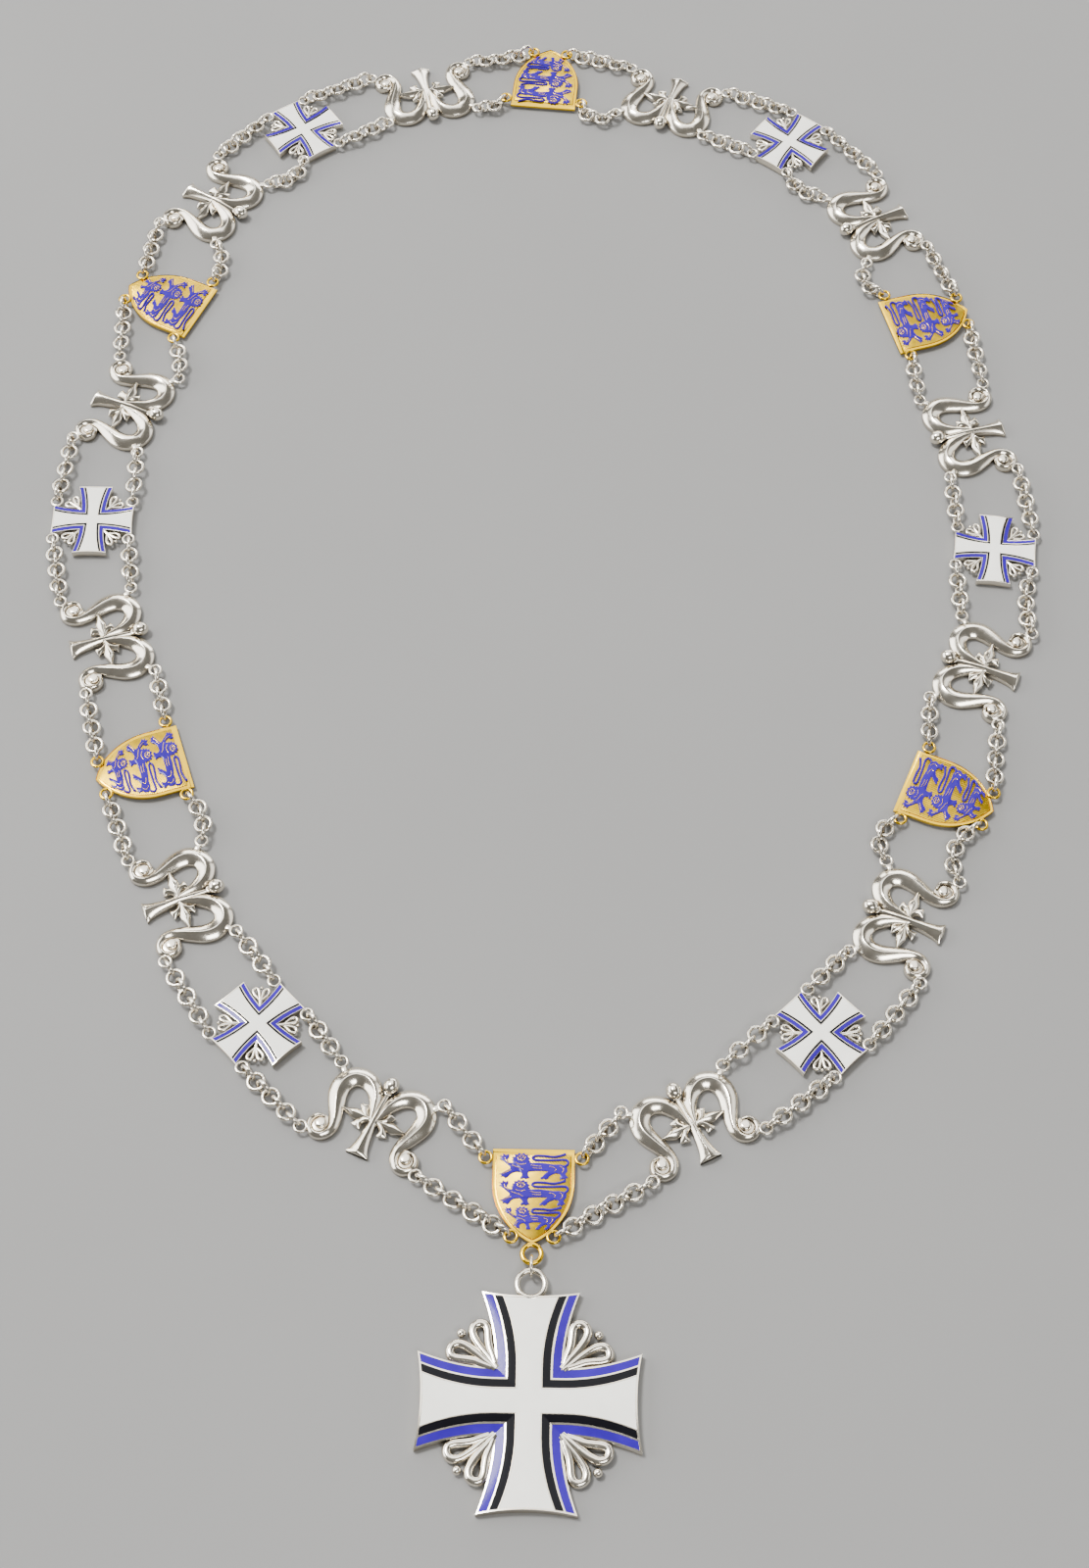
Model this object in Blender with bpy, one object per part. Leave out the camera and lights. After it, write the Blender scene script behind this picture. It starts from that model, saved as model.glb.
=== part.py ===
"""An order collar laid out flat: plaques joined in a loop by pairs of chains, with a cross pendant.

Metres, +Z up. The table is at Z = 0, the pendant lies at -Y and the back of the collar at +Y. A plaque is
drawn in its own frame, with +Y towards the middle of the loop and X along it.
"""
import math

import bmesh
import bpy
from mathutils import Matrix, Vector

# Clearance that keeps two pieces that touch apart
GAP = 0.0003
# Points closer than this are one point, faces flatter than this angle are one face
SAME_POINT = 1e-7
FLAT_ANGLE = 0.5
SMOOTH_ANGLE = 35.0

# Lie of the collar on the table
LIE_WIDTH = 0.290
LIE_LENGTH = 0.408
# Piece, place across and along as shares of the lie, turn in degrees, links in the inner and in the outer
# strand that lead to the next piece. The loop runs clockwise from the shield that carries the pendant.
LIE = (
    ("shield", -0.010, 0.000, -1.0, 5, 9),
    ("scroll", -0.175, 0.004, -24.5, 5, 7),
    ("cross", -0.281, 0.093, -47.0, 5, 7),
    ("scroll", -0.392, 0.184, -68.0, 5, 7),
    ("shield", -0.374, 0.311, -72.0, 5, 7),
    ("scroll", -0.494, 0.408, -72.0, 5, 7),
    ("cross", -0.496, 0.524, -90.5, 5, 7),
    ("scroll", -0.498, 0.644, -110.5, 5, 7),
    ("shield", -0.397, 0.733, -115.5, 5, 7),
    ("scroll", -0.415, 0.865, -121.0, 5, 7),
    ("cross", -0.291, 0.935, -146.5, 5, 7),
    ("scroll", -0.150, 0.999, -167.0, 3, 7),
    ("shield", -0.002, 0.963, -186.0, 5, 7),
    ("scroll", 0.162, 0.987, -200.0, 5, 7),
    ("cross", 0.295, 0.921, -217.0, 5, 7),
    ("scroll", 0.415, 0.842, -245.5, 5, 7),
    ("shield", 0.397, 0.718, -254.5, 5, 7),
    ("scroll", 0.503, 0.615, -256.5, 5, 7),
    ("cross", 0.491, 0.496, -277.0, 5, 7),
    ("scroll", 0.490, 0.380, -292.0, 5, 7),
    ("shield", 0.374, 0.290, -293.0, 5, 7),
    ("scroll", 0.388, 0.167, -293.0, 5, 7),
    ("cross", 0.271, 0.086, -316.0, 5, 7),
    ("scroll", 0.154, 0.001, -333.5, 5, 9),
)

# Chain of round links, face up and edge up in turn
LINK_OUTER = 0.0057
LINK_WIRE = 0.00105
LINK_PITCH = 0.0030
# Outer form of a strand: links between two of its sections, fewest sections of a bent one, bevel steps
STRAND_SECTION_EVERY = 3.0
STRAND_BENT_SECTIONS = 3
STRAND_BEVEL_STEPS = 2
# A strand whose chord is longer than this share of its length is drawn straight
STRAIGHT_SHARE = 0.9995
HALVINGS = 40

# Small rings soldered to the plaques
EYE_OUTER = 0.0043
EYE_WIRE = 0.0009
EYE_HEIGHT = 0.0022
EYE_SIDES = 10
EYE_WIRE_SIDES = 5

# Shield plaque
SHIELD_WIDTH = 0.0227
SHIELD_LENGTH = 0.0276
SHIELD_STRAIGHT = 0.0100
SHIELD_THICK = 0.0016
SHIELD_BOTTOM = 0.0009
SHIELD_EYE_DROP = 0.0028
SHIELD_FOOT_EYE = 0.0257
SHIELD_FOOT_EYE_OUT = 0.0016
SHIELD_ARC_STEPS = 4

# Scroll plaque: two arches that spring from one stem
SCROLL_WIDTH = 0.0324
SCROLL_HEIGHT = 0.0245
SCROLL_THICK = 0.0034
SCROLL_BAND = 0.0057
STEM_FOOT = 0.0037
STEM_FOOT_WIDTH = 0.0066
STEM_THICK = 0.0032
VOLUTE_WIDTH = 0.0070
VOLUTE_SIDES = 7
BALL_WIDTH = 0.0044
BALL_SIDES = 7
BALL_ROWS = 4
FLEUR_HEIGHT = 0.0073
FLEUR_THICK = 0.0018
LUG_WIDTH = 0.0024
# Height of the band's side walls as a share of its ridge
SCROLL_WALL = 0.47
# Width and height of the volute's top as shares of its width and of the scroll's thickness
VOLUTE_TOP = (0.9, 0.8)
# Places on the scroll: across as a share of half the width, along from the foot as a share of the height
VOLUTE_ACROSS = 0.827
SHOULDER_EYE = (0.994, 0.951)
SHOULDER_LUG = (0.802, 0.824)
VOLUTE_EYE = (1.099, 0.045)
FLEUR_ROOT = (0.074, 0.445)
BALL_PLACE = (0.0, 0.918)
# Middle of the band in the same shares, band width as a share of the widest
ARCH = (
    (0.07, 0.48, 0.38),
    (0.25, 0.81, 0.84),
    (0.49, 0.89, 0.96),
    (0.68, 0.86, 1.00),
    (0.785, 0.78, 1.00),
    (0.82, 0.68, 1.00),
    (0.79, 0.57, 0.95),
    (0.62, 0.255, 0.62),
    (0.69, 0.095, 0.50),
)
# Stem: along from the foot as a share of the height, width as a share of the foot's
STEM = (
    (0.00, 1.00),
    (0.08, 0.76),
    (0.24, 0.44),
    (0.87, 0.36),
)
# Half a fleur-de-lis, root to tip: along and across as shares of its height
FLEUR = (
    (0.00, 0.14),
    (0.44, 0.50),
    (0.56, 0.14),
    (0.92, 0.00),
)

# Cross plaque
CROSS_SPAN = 0.0257
CROSS_ROOT = 0.0077
CROSS_TIP = 0.0108
CROSS_THICK = 0.0026
CROSS_BOTTOM = 0.0004
CROSS_SIDE_SAG = 0.03
CROSS_END_SAG = 0.02
CROSS_CURVE_STEPS = 2
CROSS_EYE_DROP = 0.0008
CROSS_KNOT = 0.0066
CROSS_KNOT_THICK = 0.0016

# Pendant cross and the rings that carry it
PENDANT_SPAN = 0.0600
PENDANT_ROOT = 0.0182
PENDANT_TIP = 0.0266
PENDANT_SIDE_SAG = 0.05
PENDANT_END_SAG = 0.05
PENDANT_CURVE_STEPS = 4
PENDANT_THICK = 0.0032
PENDANT_KNOT = 0.0138
PENDANT_KNOT_THICK = 0.0022
PENDANT_RING_OUTER = 0.0093
PENDANT_RING_WIRE = 0.0017
PENDANT_RING_SINK = 0.0012
TIP_RING_OUTER = 0.0066
TIP_RING_WIRE = 0.0014
TIP_RING_SINK = 0.0002
DROP_HEIGHT = 0.0024
JUMP_RING_OUTER = 0.0064
JUMP_RING_WIRE = 0.0008
DROP_RING_SIDES = 12
DROP_WIRE_SIDES = 6

# Half a knot's outline and one of its two holes, along the bisector and across it, as shares of its reach
KNOT_OUTLINE = (
    (-0.06, 0.07),
    (0.42, 0.56),
    (0.70, 0.64),
    (0.88, 0.40),
    (1.00, 0.08),
)
KNOT_HOLE = (
    (0.38, 0.24),
    (0.58, 0.44),
    (0.72, 0.40),
    (0.64, 0.18),
)
# Half the outline of a small knot, whose loops are too fine to cut through
SMALL_KNOT_OUTLINE = (
    (-0.06, 0.12),
    (0.45, 0.52),
    (0.85, 0.42),
    (1.00, 0.12),
)

SILVER = (0.80, 0.77, 0.73)
GOLD = (0.83, 0.62, 0.22)
ENAMEL_WHITE = (0.93, 0.93, 0.90)


def clear_scene():
    """Remove every object, so that the model starts from nothing."""
    for old in list(bpy.data.objects):
        bpy.data.objects.remove(old, do_unlink=True)


def material(name, colour, metallic, roughness):
    """Return a plain Principled material."""
    made = bpy.data.materials.new(name)
    made.use_nodes = True
    shader = made.node_tree.nodes["Principled BSDF"]
    shader.inputs["Base Color"].default_value = (*colour, 1.0)
    shader.inputs["Metallic"].default_value = metallic
    shader.inputs["Roughness"].default_value = roughness
    return made


def finish_mesh(shape, name):
    """Turn a bmesh into a mesh whose faces point out, and free it."""
    bmesh.ops.remove_doubles(shape, verts=shape.verts, dist=SAME_POINT)
    bmesh.ops.recalc_face_normals(shape, faces=shape.faces)
    mesh = bpy.data.meshes.new(name)
    shape.to_mesh(mesh)
    shape.free()
    return mesh


def plate(name, outline, bottom, top, holes=()):
    """Return a flat plate of the outline, cut through at its holes."""
    shape = bmesh.new()
    edges = []
    for loop in (outline, *holes):
        verts = [shape.verts.new((x, y, bottom)) for x, y in loop]
        edges += [shape.edges.new((verts[i - 1], verts[i])) for i in range(len(verts))]
    filled = bmesh.ops.triangle_fill(shape, use_beauty=True, use_dissolve=False, edges=edges)
    faces = [item for item in filled["geom"] if isinstance(item, bmesh.types.BMFace)]
    raised = bmesh.ops.extrude_face_region(shape, geom=faces, use_keep_orig=True)
    upper = [item for item in raised["geom"] if isinstance(item, bmesh.types.BMVert)]
    bmesh.ops.translate(shape, verts=upper, vec=(0.0, 0.0, top - bottom))
    return finish_mesh(shape, name)


def loft(name, sections):
    """Return a solid that joins closed sections of equal length, capped at both ends."""
    shape = bmesh.new()
    rows = [[shape.verts.new(point) for point in section] for section in sections]
    count = len(rows[0])
    for low, high in zip(rows, rows[1:]):
        for i in range(count):
            shape.faces.new((low[i - 1], low[i], high[i], high[i - 1]))
    shape.faces.new(rows[0])
    shape.faces.new(rows[-1])
    return finish_mesh(shape, name)


def ring(name, centre, outer, wire, sides, wire_sides, upright=False):
    """Return a round wire ring, flat or standing along Y."""
    middle = (outer - wire) / 2
    shape = bmesh.new()
    rows = []
    for i in range(sides):
        turn = 2 * math.pi * i / sides
        row = []
        for k in range(wire_sides):
            tilt = 2 * math.pi * k / wire_sides
            reach = middle + wire / 2 * math.cos(tilt)
            across, along, rise = reach * math.cos(turn), reach * math.sin(turn), wire / 2 * math.sin(tilt)
            place = (rise, across, along) if upright else (across, along, rise)
            row.append(shape.verts.new(Vector(centre) + Vector(place)))
        rows.append(row)
    for i in range(sides):
        for k in range(wire_sides):
            shape.faces.new((rows[i - 1][k - 1], rows[i][k - 1], rows[i][k], rows[i - 1][k]))
    return finish_mesh(shape, name)


def ball(name, centre, width):
    """Return a faceted ball."""
    shape = bmesh.new()
    bmesh.ops.create_uvsphere(shape, u_segments=BALL_SIDES, v_segments=BALL_ROWS, radius=width / 2,
                              matrix=Matrix.Translation(centre))
    return finish_mesh(shape, name)


def add_object(name, mesh, finish):
    """Put a mesh in the scene under a node's name, with its material."""
    made = bpy.data.objects.new(name, mesh)
    made.data.materials.clear()
    made.data.materials.append(finish)
    bpy.context.collection.objects.link(made)
    return made


def fuse(name, meshes):
    """Return one closed mesh, the union of several."""
    base = bpy.data.objects.new(name, meshes[0])
    bpy.context.collection.objects.link(base)
    tools = []
    for mesh in meshes[1:]:
        tool = bpy.data.objects.new(mesh.name, mesh)
        tool.hide_render = True
        tool.display_type = "WIRE"
        bpy.context.collection.objects.link(tool)
        union = base.modifiers.new(mesh.name, "BOOLEAN")
        union.operation = "UNION"
        union.solver = "EXACT"
        union.object = tool
        tools.append(tool)
    bpy.context.view_layer.update()
    evaluated = base.evaluated_get(bpy.context.evaluated_depsgraph_get())
    shape = bmesh.new()
    shape.from_mesh(bpy.data.meshes.new_from_object(evaluated))
    for used in (base, *tools):
        bpy.data.objects.remove(used, do_unlink=True)
    bmesh.ops.dissolve_limit(shape, angle_limit=math.radians(FLAT_ANGLE), verts=shape.verts,
                             edges=shape.edges)
    return finish_mesh(shape, name)


def moved(mesh, matrix):
    """Return a copy of a mesh in another place, still pointing out after a mirror."""
    copy = mesh.copy()
    copy.transform(matrix)
    if matrix.determinant() < 0:
        copy.flip_normals()
    return copy


def eye(place):
    """Return one of the small rings that a plaque carries."""
    return ring("eye", (*place, EYE_HEIGHT), EYE_OUTER, EYE_WIRE, EYE_SIDES, EYE_WIRE_SIDES)


def both_sides(places):
    """Return each place and its mirror across the plaque."""
    return [(side * x, y) for x, y in places for side in (1, -1)]


def shield_side(along, outside=0.0):
    """Return how far from the middle a line runs that keeps a distance outside the shield's side."""
    half = SHIELD_WIDTH / 2
    fall = SHIELD_LENGTH - SHIELD_STRAIGHT
    radius = (half ** 2 + fall ** 2) / (2 * half)
    below = max(0.0, along - SHIELD_STRAIGHT)
    return half - radius + math.sqrt((radius + outside) ** 2 - below ** 2)


def shield_eyes():
    """Return the places of the shield's four rings, inner ones first."""
    side = SHIELD_WIDTH / 2 + EYE_OUTER / 2 - GAP / 2
    foot = shield_side(SHIELD_FOOT_EYE, SHIELD_FOOT_EYE_OUT)
    return {"inner": (side, -SHIELD_EYE_DROP), "outer": (foot, -SHIELD_FOOT_EYE)}


def shield_outline():
    """Return the shield's outline, with its straight edge at Y = 0 and its point at -Y."""
    fall = SHIELD_LENGTH - SHIELD_STRAIGHT
    steps = [0.0] + [SHIELD_STRAIGHT + fall * math.sin(math.pi / 2 * i / SHIELD_ARC_STEPS)
                     for i in range(SHIELD_ARC_STEPS)]
    right = [(shield_side(along), -along) for along in steps]
    left = [(-x, y) for x, y in reversed(right)]
    return right + [(0.0, -SHIELD_LENGTH)] + left


def shield_mesh():
    """Return a shield with its four rings."""
    body = plate("shield_plate", shield_outline(), SHIELD_BOTTOM, SHIELD_BOTTOM + SHIELD_THICK)
    return fuse("shield", [body] + [eye(place) for place in both_sides(shield_eyes().values())])


def scroll_place(share):
    """Return a place on the scroll from its shares of the width and the height."""
    return Vector((share[0] * SCROLL_WIDTH / 2, share[1] * SCROLL_HEIGHT - STEM_FOOT))


def scroll_eyes():
    """Return the places of the scroll's rings, inner ones first."""
    return {"inner": scroll_place(SHOULDER_EYE), "outer": scroll_place(VOLUTE_EYE)}


def band_section(place, along, width, top):
    """Return the five corners of the scroll's band, which has a ridge along its middle."""
    across = Vector((along.y, -along.x))
    wall = top * SCROLL_WALL
    corners = ((-0.5, 0.0), (0.5, 0.0), (0.5, wall), (0.0, top), (-0.5, wall))
    return [(*(place + across * width * side), rise) for side, rise in corners]


def arch_mesh():
    """Return the right-hand arch, from the stem over the top and down to its volute."""
    line = [scroll_place(row) for row in ARCH]
    sections = []
    for i, (_, _, share) in enumerate(ARCH):
        along = (line[min(i + 1, len(line) - 1)] - line[max(i - 1, 0)]).normalized()
        sections.append(band_section(line[i], along, share * SCROLL_BAND, SCROLL_THICK))
    return loft("arch", sections)


def volute_mesh():
    """Return the drum that the arch curls into."""
    centre = VOLUTE_ACROSS * SCROLL_WIDTH / 2
    turns = [2 * math.pi * (i + 0.5) / VOLUTE_SIDES for i in range(VOLUTE_SIDES)]
    sections = []
    for share, rise in ((1.0, 0.0), VOLUTE_TOP):
        radius = VOLUTE_WIDTH / 2 * share
        sections.append([(centre + radius * math.cos(turn), radius * math.sin(turn), rise * SCROLL_THICK)
                         for turn in turns])
    return loft("volute", sections)


def stem_mesh():
    """Return the stem, which flares to its foot."""
    sections = []
    for share, width in STEM:
        place = scroll_place((0.0, share))
        sections.append(band_section(place, Vector((0.0, 1.0)), width * STEM_FOOT_WIDTH, STEM_THICK))
    return loft("stem", sections)


def fleur_mesh():
    """Return the fleur-de-lis that points from the stem into the right-hand arch."""
    root = scroll_place(FLEUR_ROOT)
    half = [(root.x + along * FLEUR_HEIGHT, across * FLEUR_HEIGHT) for along, across in FLEUR]
    upper = [(x, root.y + y) for x, y in half]
    lower = [(x, root.y - y) for x, y in reversed(half[:-1])]
    middle = SCROLL_THICK * SCROLL_WALL
    return plate("fleur", upper + lower, middle - FLEUR_THICK / 2, middle + FLEUR_THICK / 2)


def lug_mesh(root, tip):
    """Return the short bar that carries one of the scroll's rings."""
    along = (tip - root).normalized()
    side = Vector((-along.y, along.x)) * LUG_WIDTH / 2
    outline = [tuple(point) for point in (root - side, tip - side, tip + side, root + side)]
    return plate("lug", outline, EYE_HEIGHT - EYE_WIRE, EYE_HEIGHT + EYE_WIRE / 2)


def scroll_mesh():
    """Return the openwork link: two arches, stem, volutes, fleurs-de-lis and ball."""
    mirror = Matrix.Scale(-1, 4, Vector((1, 0, 0)))
    parts = [stem_mesh()]
    lug = lug_mesh(scroll_place(SHOULDER_LUG), scroll_place(SHOULDER_EYE))
    for made in (arch_mesh(), volute_mesh(), fleur_mesh(), lug):
        parts += [made, moved(made, mirror)]
    parts.append(ball("ball", (*scroll_place(BALL_PLACE), BALL_WIDTH / 2), BALL_WIDTH))
    return fuse("scroll", parts)


def bowed(start, end, sag, steps):
    """Return the points from start up to but not at end, bowed to the left by a share of the distance."""
    start, end = Vector(start), Vector(end)
    run = end - start
    side = Vector((-run.y, run.x)) * sag
    return [tuple(start + run * t + side * 4 * t * (1 - t)) for t in (i / steps for i in range(steps))]


def cross_outline(span, root, tip, side_sag, end_sag, steps):
    """Return a cross with flaring arms whose sides and ends curve in."""
    outline = []
    for quarter in range(4):
        turn = Matrix.Rotation(quarter * math.pi / 2, 2)
        corner_in = (root / 2, root / 2)
        side = bowed((span / 2, tip / 2), corner_in, side_sag, steps)
        back = bowed(corner_in, (tip / 2, span / 2), side_sag, steps)
        end = bowed((span / 2, -tip / 2), (span / 2, tip / 2), end_sag, steps)
        outline += [tuple(turn @ Vector(point)) for point in end + side + back]
    return outline


def knot_mesh(root, reach, bottom, top, half, hole):
    """Return the looped knot in the cross's first angle, cut through at its two loops."""
    bisector = Vector((1, 1)).normalized()
    across = Vector((-1, 1)).normalized()
    corner = Vector((root / 2, root / 2))

    def place(point, side):
        return tuple(corner + bisector * point[0] * reach + across * side * point[1] * reach)

    outline = [place(point, 1) for point in half] + [place(point, -1) for point in reversed(half)]
    holes = [[place(point, side) for point in hole] for side in (1, -1) if hole]
    return plate("knot", outline, bottom, top, holes)


def four_knots(root, reach, thick, middle, half, hole=()):
    """Return the knots of all four angles."""
    knot = knot_mesh(root, reach, middle - thick / 2, middle + thick / 2, half, hole)
    return [moved(knot, Matrix.Rotation(quarter * math.pi / 2, 4, "Z")) for quarter in range(4)]


def cross_eyes():
    """Return the places of the cross's rings, inner ones first."""
    across = CROSS_TIP / 2 + EYE_OUTER / 2 - GAP
    along = CROSS_SPAN / 2 - CROSS_EYE_DROP
    return {"inner": (across, along), "outer": (across, -along)}


def small_cross_outline():
    """Return the outline of a small cross."""
    return cross_outline(CROSS_SPAN, CROSS_ROOT, CROSS_TIP, CROSS_SIDE_SAG, CROSS_END_SAG,
                         CROSS_CURVE_STEPS)


def cross_mesh():
    """Return a small cross with its knots and its four rings."""
    top = CROSS_BOTTOM + CROSS_THICK
    parts = [plate("cross_plate", small_cross_outline(), CROSS_BOTTOM, top)]
    parts += four_knots(CROSS_ROOT, CROSS_KNOT, CROSS_KNOT_THICK, (CROSS_BOTTOM + top) / 2,
                        SMALL_KNOT_OUTLINE)
    parts += [eye(place) for place in both_sides(cross_eyes().values())]
    return fuse("cross", parts)


def pendant_mesh():
    """Return the large cross with its knots and the ring on its top arm."""
    outline = cross_outline(PENDANT_SPAN, PENDANT_ROOT, PENDANT_TIP, PENDANT_SIDE_SAG, PENDANT_END_SAG,
                            PENDANT_CURVE_STEPS)
    parts = [plate("pendant_plate", outline, 0.0, PENDANT_THICK)]
    parts += four_knots(PENDANT_ROOT, PENDANT_KNOT, PENDANT_KNOT_THICK, PENDANT_THICK / 2,
                        KNOT_OUTLINE, KNOT_HOLE)
    parts.append(ring("pendant_ring", (0.0, pendant_ring_along(), DROP_HEIGHT), PENDANT_RING_OUTER,
                      PENDANT_RING_WIRE, DROP_RING_SIDES, DROP_WIRE_SIDES))
    return fuse("pendant", parts)


def pendant_ring_along():
    """Return how far the pendant's ring stands from the middle of its cross."""
    end = PENDANT_SPAN / 2 - PENDANT_TIP * PENDANT_END_SAG
    return end + PENDANT_RING_OUTER / 2 - PENDANT_RING_SINK


def tip_ring_along():
    """Return how far the pendant's gold ring stands from the shield's straight edge."""
    return SHIELD_LENGTH + TIP_RING_OUTER / 2 - TIP_RING_SINK


def lie_place(row):
    """Return where a plaque of the lie stands on the table."""
    _, across, along, turn, _, _ = row
    spot = Matrix.Translation((across * LIE_WIDTH, along * LIE_LENGTH, 0.0))
    return spot @ Matrix.Rotation(math.radians(turn), 4, "Z")


def hook_reach():
    """Return how far the first link's middle stands from the middle of the ring that it hooks into."""
    room = (LINK_OUTER - EYE_WIRE) / 2 - LINK_WIRE
    step = EYE_HEIGHT - LINK_OUTER / 2
    return (EYE_OUTER - EYE_WIRE) / 2 + math.sqrt(room ** 2 - step ** 2)


def half_turn(chord, length):
    """Return half the angle of the arc of a given length over a chord, 0 where it is straight."""
    share = chord / length
    if share > STRAIGHT_SHARE:
        return 0.0
    low, high = 0.0, math.pi
    for _ in range(HALVINGS):
        middle = (low + high) / 2
        low, high = (middle, high) if math.sin(middle) / middle > share else (low, middle)
    return low


def strand_line(start, end, links, inward):
    """Return a function from distance along the strand to a place, its length and whether it bends."""
    run = end - start
    chord = run.length
    length = max(chord, 2 * hook_reach() + (links - 1) * LINK_PITCH)
    half = half_turn(chord, length)
    along = run.normalized()
    side = Vector((-along.y, along.x))
    if side.dot(inward) < 0:
        side = -side

    def at(distance):
        if half == 0.0:
            return start + along * distance
        radius = length / (2 * half)
        turn = half * (2 * distance / length - 1)
        rise = math.cos(turn) - math.cos(half)
        return (start + end) / 2 + along * radius * math.sin(turn) + side * radius * rise

    return at, length, half > 0.0


def distance_outside(point, outline):
    """Return how far a point lies outside an outline, less than 0 where it lies inside."""
    nearest = float("inf")
    inside = False
    for i, end in enumerate(outline):
        start = outline[i - 1]
        run = end - start
        share = min(1.0, max(0.0, (point - start).dot(run) / run.length_squared))
        nearest = min(nearest, (point - start - run * share).length)
        if (start.y > point.y) != (end.y > point.y):
            crossing = start.x + run.x * (point.y - start.y) / run.y
            inside = inside != (point.x < crossing)
    return -nearest if inside else nearest


def clear_distance(at, length, outline):
    """Return how far along the strand its outer form reaches before it meets the next plaque's ring."""
    reach = length - EYE_OUTER / 2
    clear = False
    while not clear and reach > length / 2:
        reach -= GAP
        along = (at(reach) - at(reach - GAP)).normalized()
        side = Vector((-along.y, along.x)) * LINK_OUTER / 2
        edge = [at(reach) + side * share for share in (-1.0, -0.5, 0.0, 0.5, 1.0)]
        clear = all(distance_outside(point, outline) > GAP and
                    (point - at(length)).length > EYE_OUTER / 2 + GAP for point in edge)
    return reach


def strand_mesh(at, first, last, bent):
    """Return the strand's outer form, a capped tube of the links' width."""
    fewest = STRAND_BENT_SECTIONS if bent else 1
    count = 1 + max(fewest, round((last - first) / (STRAND_SECTION_EVERY * LINK_OUTER)))
    curve = bpy.data.curves.new("strand", "CURVE")
    curve.dimensions = "3D"
    curve.bevel_depth = LINK_OUTER / 2
    curve.bevel_resolution = STRAND_BEVEL_STEPS
    curve.use_fill_caps = True
    spline = curve.splines.new("POLY")
    spline.points.add(count - 1)
    for i, point in enumerate(spline.points):
        place = at(first + (last - first) * i / (count - 1))
        point.co = (place.x, place.y, LINK_OUTER / 2, 1.0)
    guide = bpy.data.objects.new("strand", curve)
    bpy.context.collection.objects.link(guide)
    bpy.context.view_layer.update()
    mesh = bpy.data.meshes.new_from_object(guide.evaluated_get(bpy.context.evaluated_depsgraph_get()))
    bpy.data.objects.remove(guide, do_unlink=True)
    return closed(mesh)


def closed(mesh):
    """Return a tube's mesh with its caps joined to its wall."""
    shape = bmesh.new()
    shape.from_mesh(mesh)
    return finish_mesh(shape, "strand")


def strands_of(index, eyes, middle):
    """Return the four strands that hang on the scroll at a place of the lie, in world space."""
    outlines = {"shield": shield_outline(), "cross": small_cross_outline()}
    tubes = []
    count = len(LIE)
    here = lie_place(LIE[index])
    for step in (1, -1):
        other = LIE[(index + step) % count]
        links = LIE[index][4:] if step == 1 else other[4:]
        outline = [(lie_place(other) @ Vector((x, y, 0.0))).to_2d() for x, y in outlines[other[0]]]
        for line, number in zip(("inner", "outer"), links):
            x, y = eyes["scroll"][line]
            start = (here @ Vector((-step * x, y, 0.0))).to_2d()
            x, y = eyes[other[0]][line]
            end = (lie_place(other) @ Vector((step * x, y, 0.0))).to_2d()
            at, length, bent = strand_line(start, end, number, middle - start)
            first = -(EYE_OUTER - EYE_WIRE) / 2
            tubes.append(strand_mesh(at, first, clear_distance(at, length, outline), bent))
    return tubes


def build_plaques(finishes):
    """Make every plaque of the loop; a scroll carries the four strands that hang on it."""
    meshes = {"shield": shield_mesh(), "scroll": scroll_mesh(), "cross": cross_mesh()}
    eyes = {"shield": shield_eyes(), "scroll": scroll_eyes(), "cross": cross_eyes()}
    middle = Vector((0.0, LIE_LENGTH / 2))
    numbers = {"shield": 0, "scroll": 0, "cross": 0}
    made = []
    for index, row in enumerate(LIE):
        kind = row[0]
        numbers[kind] += 1
        name = f"{kind}_{numbers[kind]}"
        mesh = moved(meshes[kind], lie_place(row))
        if kind == "scroll":
            mesh = fuse(name, [mesh, *strands_of(index, eyes, middle)])
        if index == 0:
            tip = ring("tip_ring", (0.0, -tip_ring_along(), DROP_HEIGHT), TIP_RING_OUTER, TIP_RING_WIRE,
                       DROP_RING_SIDES, DROP_WIRE_SIDES)
            mesh = fuse(name, [mesh, moved(tip, lie_place(row))])
        made.append(add_object(name, mesh, finishes[kind]))
    return made


def build_drop(finishes):
    """Make the jump ring and the pendant cross that hang from the first shield."""
    first = lie_place(LIE[0])
    wire_room = JUMP_RING_OUTER / 2 - JUMP_RING_WIRE - GAP
    step = JUMP_RING_OUTER / 2 - DROP_HEIGHT
    above = math.sqrt((wire_room - TIP_RING_WIRE / 2) ** 2 - step ** 2)
    below = math.sqrt((wire_room - PENDANT_RING_WIRE / 2) ** 2 - step ** 2)
    jump_along = tip_ring_along() + (TIP_RING_OUTER - TIP_RING_WIRE) / 2 + above
    pendant_along = jump_along + below + (PENDANT_RING_OUTER - PENDANT_RING_WIRE) / 2 + pendant_ring_along()
    jump = ring("jump_ring", (0.0, -jump_along, JUMP_RING_OUTER / 2), JUMP_RING_OUTER, JUMP_RING_WIRE,
                DROP_RING_SIDES, DROP_WIRE_SIDES, True)
    pendant = moved(pendant_mesh(), Matrix.Translation((0.0, -pendant_along, 0.0)))
    return [
        add_object("jump_ring", moved(jump, first), finishes["scroll"]),
        add_object("pendant_cross", moved(pendant, first), finishes["cross"]),
    ]


def centre_on_table(objects):
    """Shift all pieces together, so that the origin is under the middle of the collar's box."""
    corners = [vertex.co for made in objects for vertex in made.data.vertices]
    middle = [(min(c[i] for c in corners) + max(c[i] for c in corners)) / 2 for i in (0, 1)]
    low = min(c[2] for c in corners)
    for made in objects:
        made.data.transform(Matrix.Translation((-middle[0], -middle[1], -low)))
        made.data.shade_smooth()
        made.data.set_sharp_from_angle(angle=math.radians(SMOOTH_ANGLE))


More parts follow.
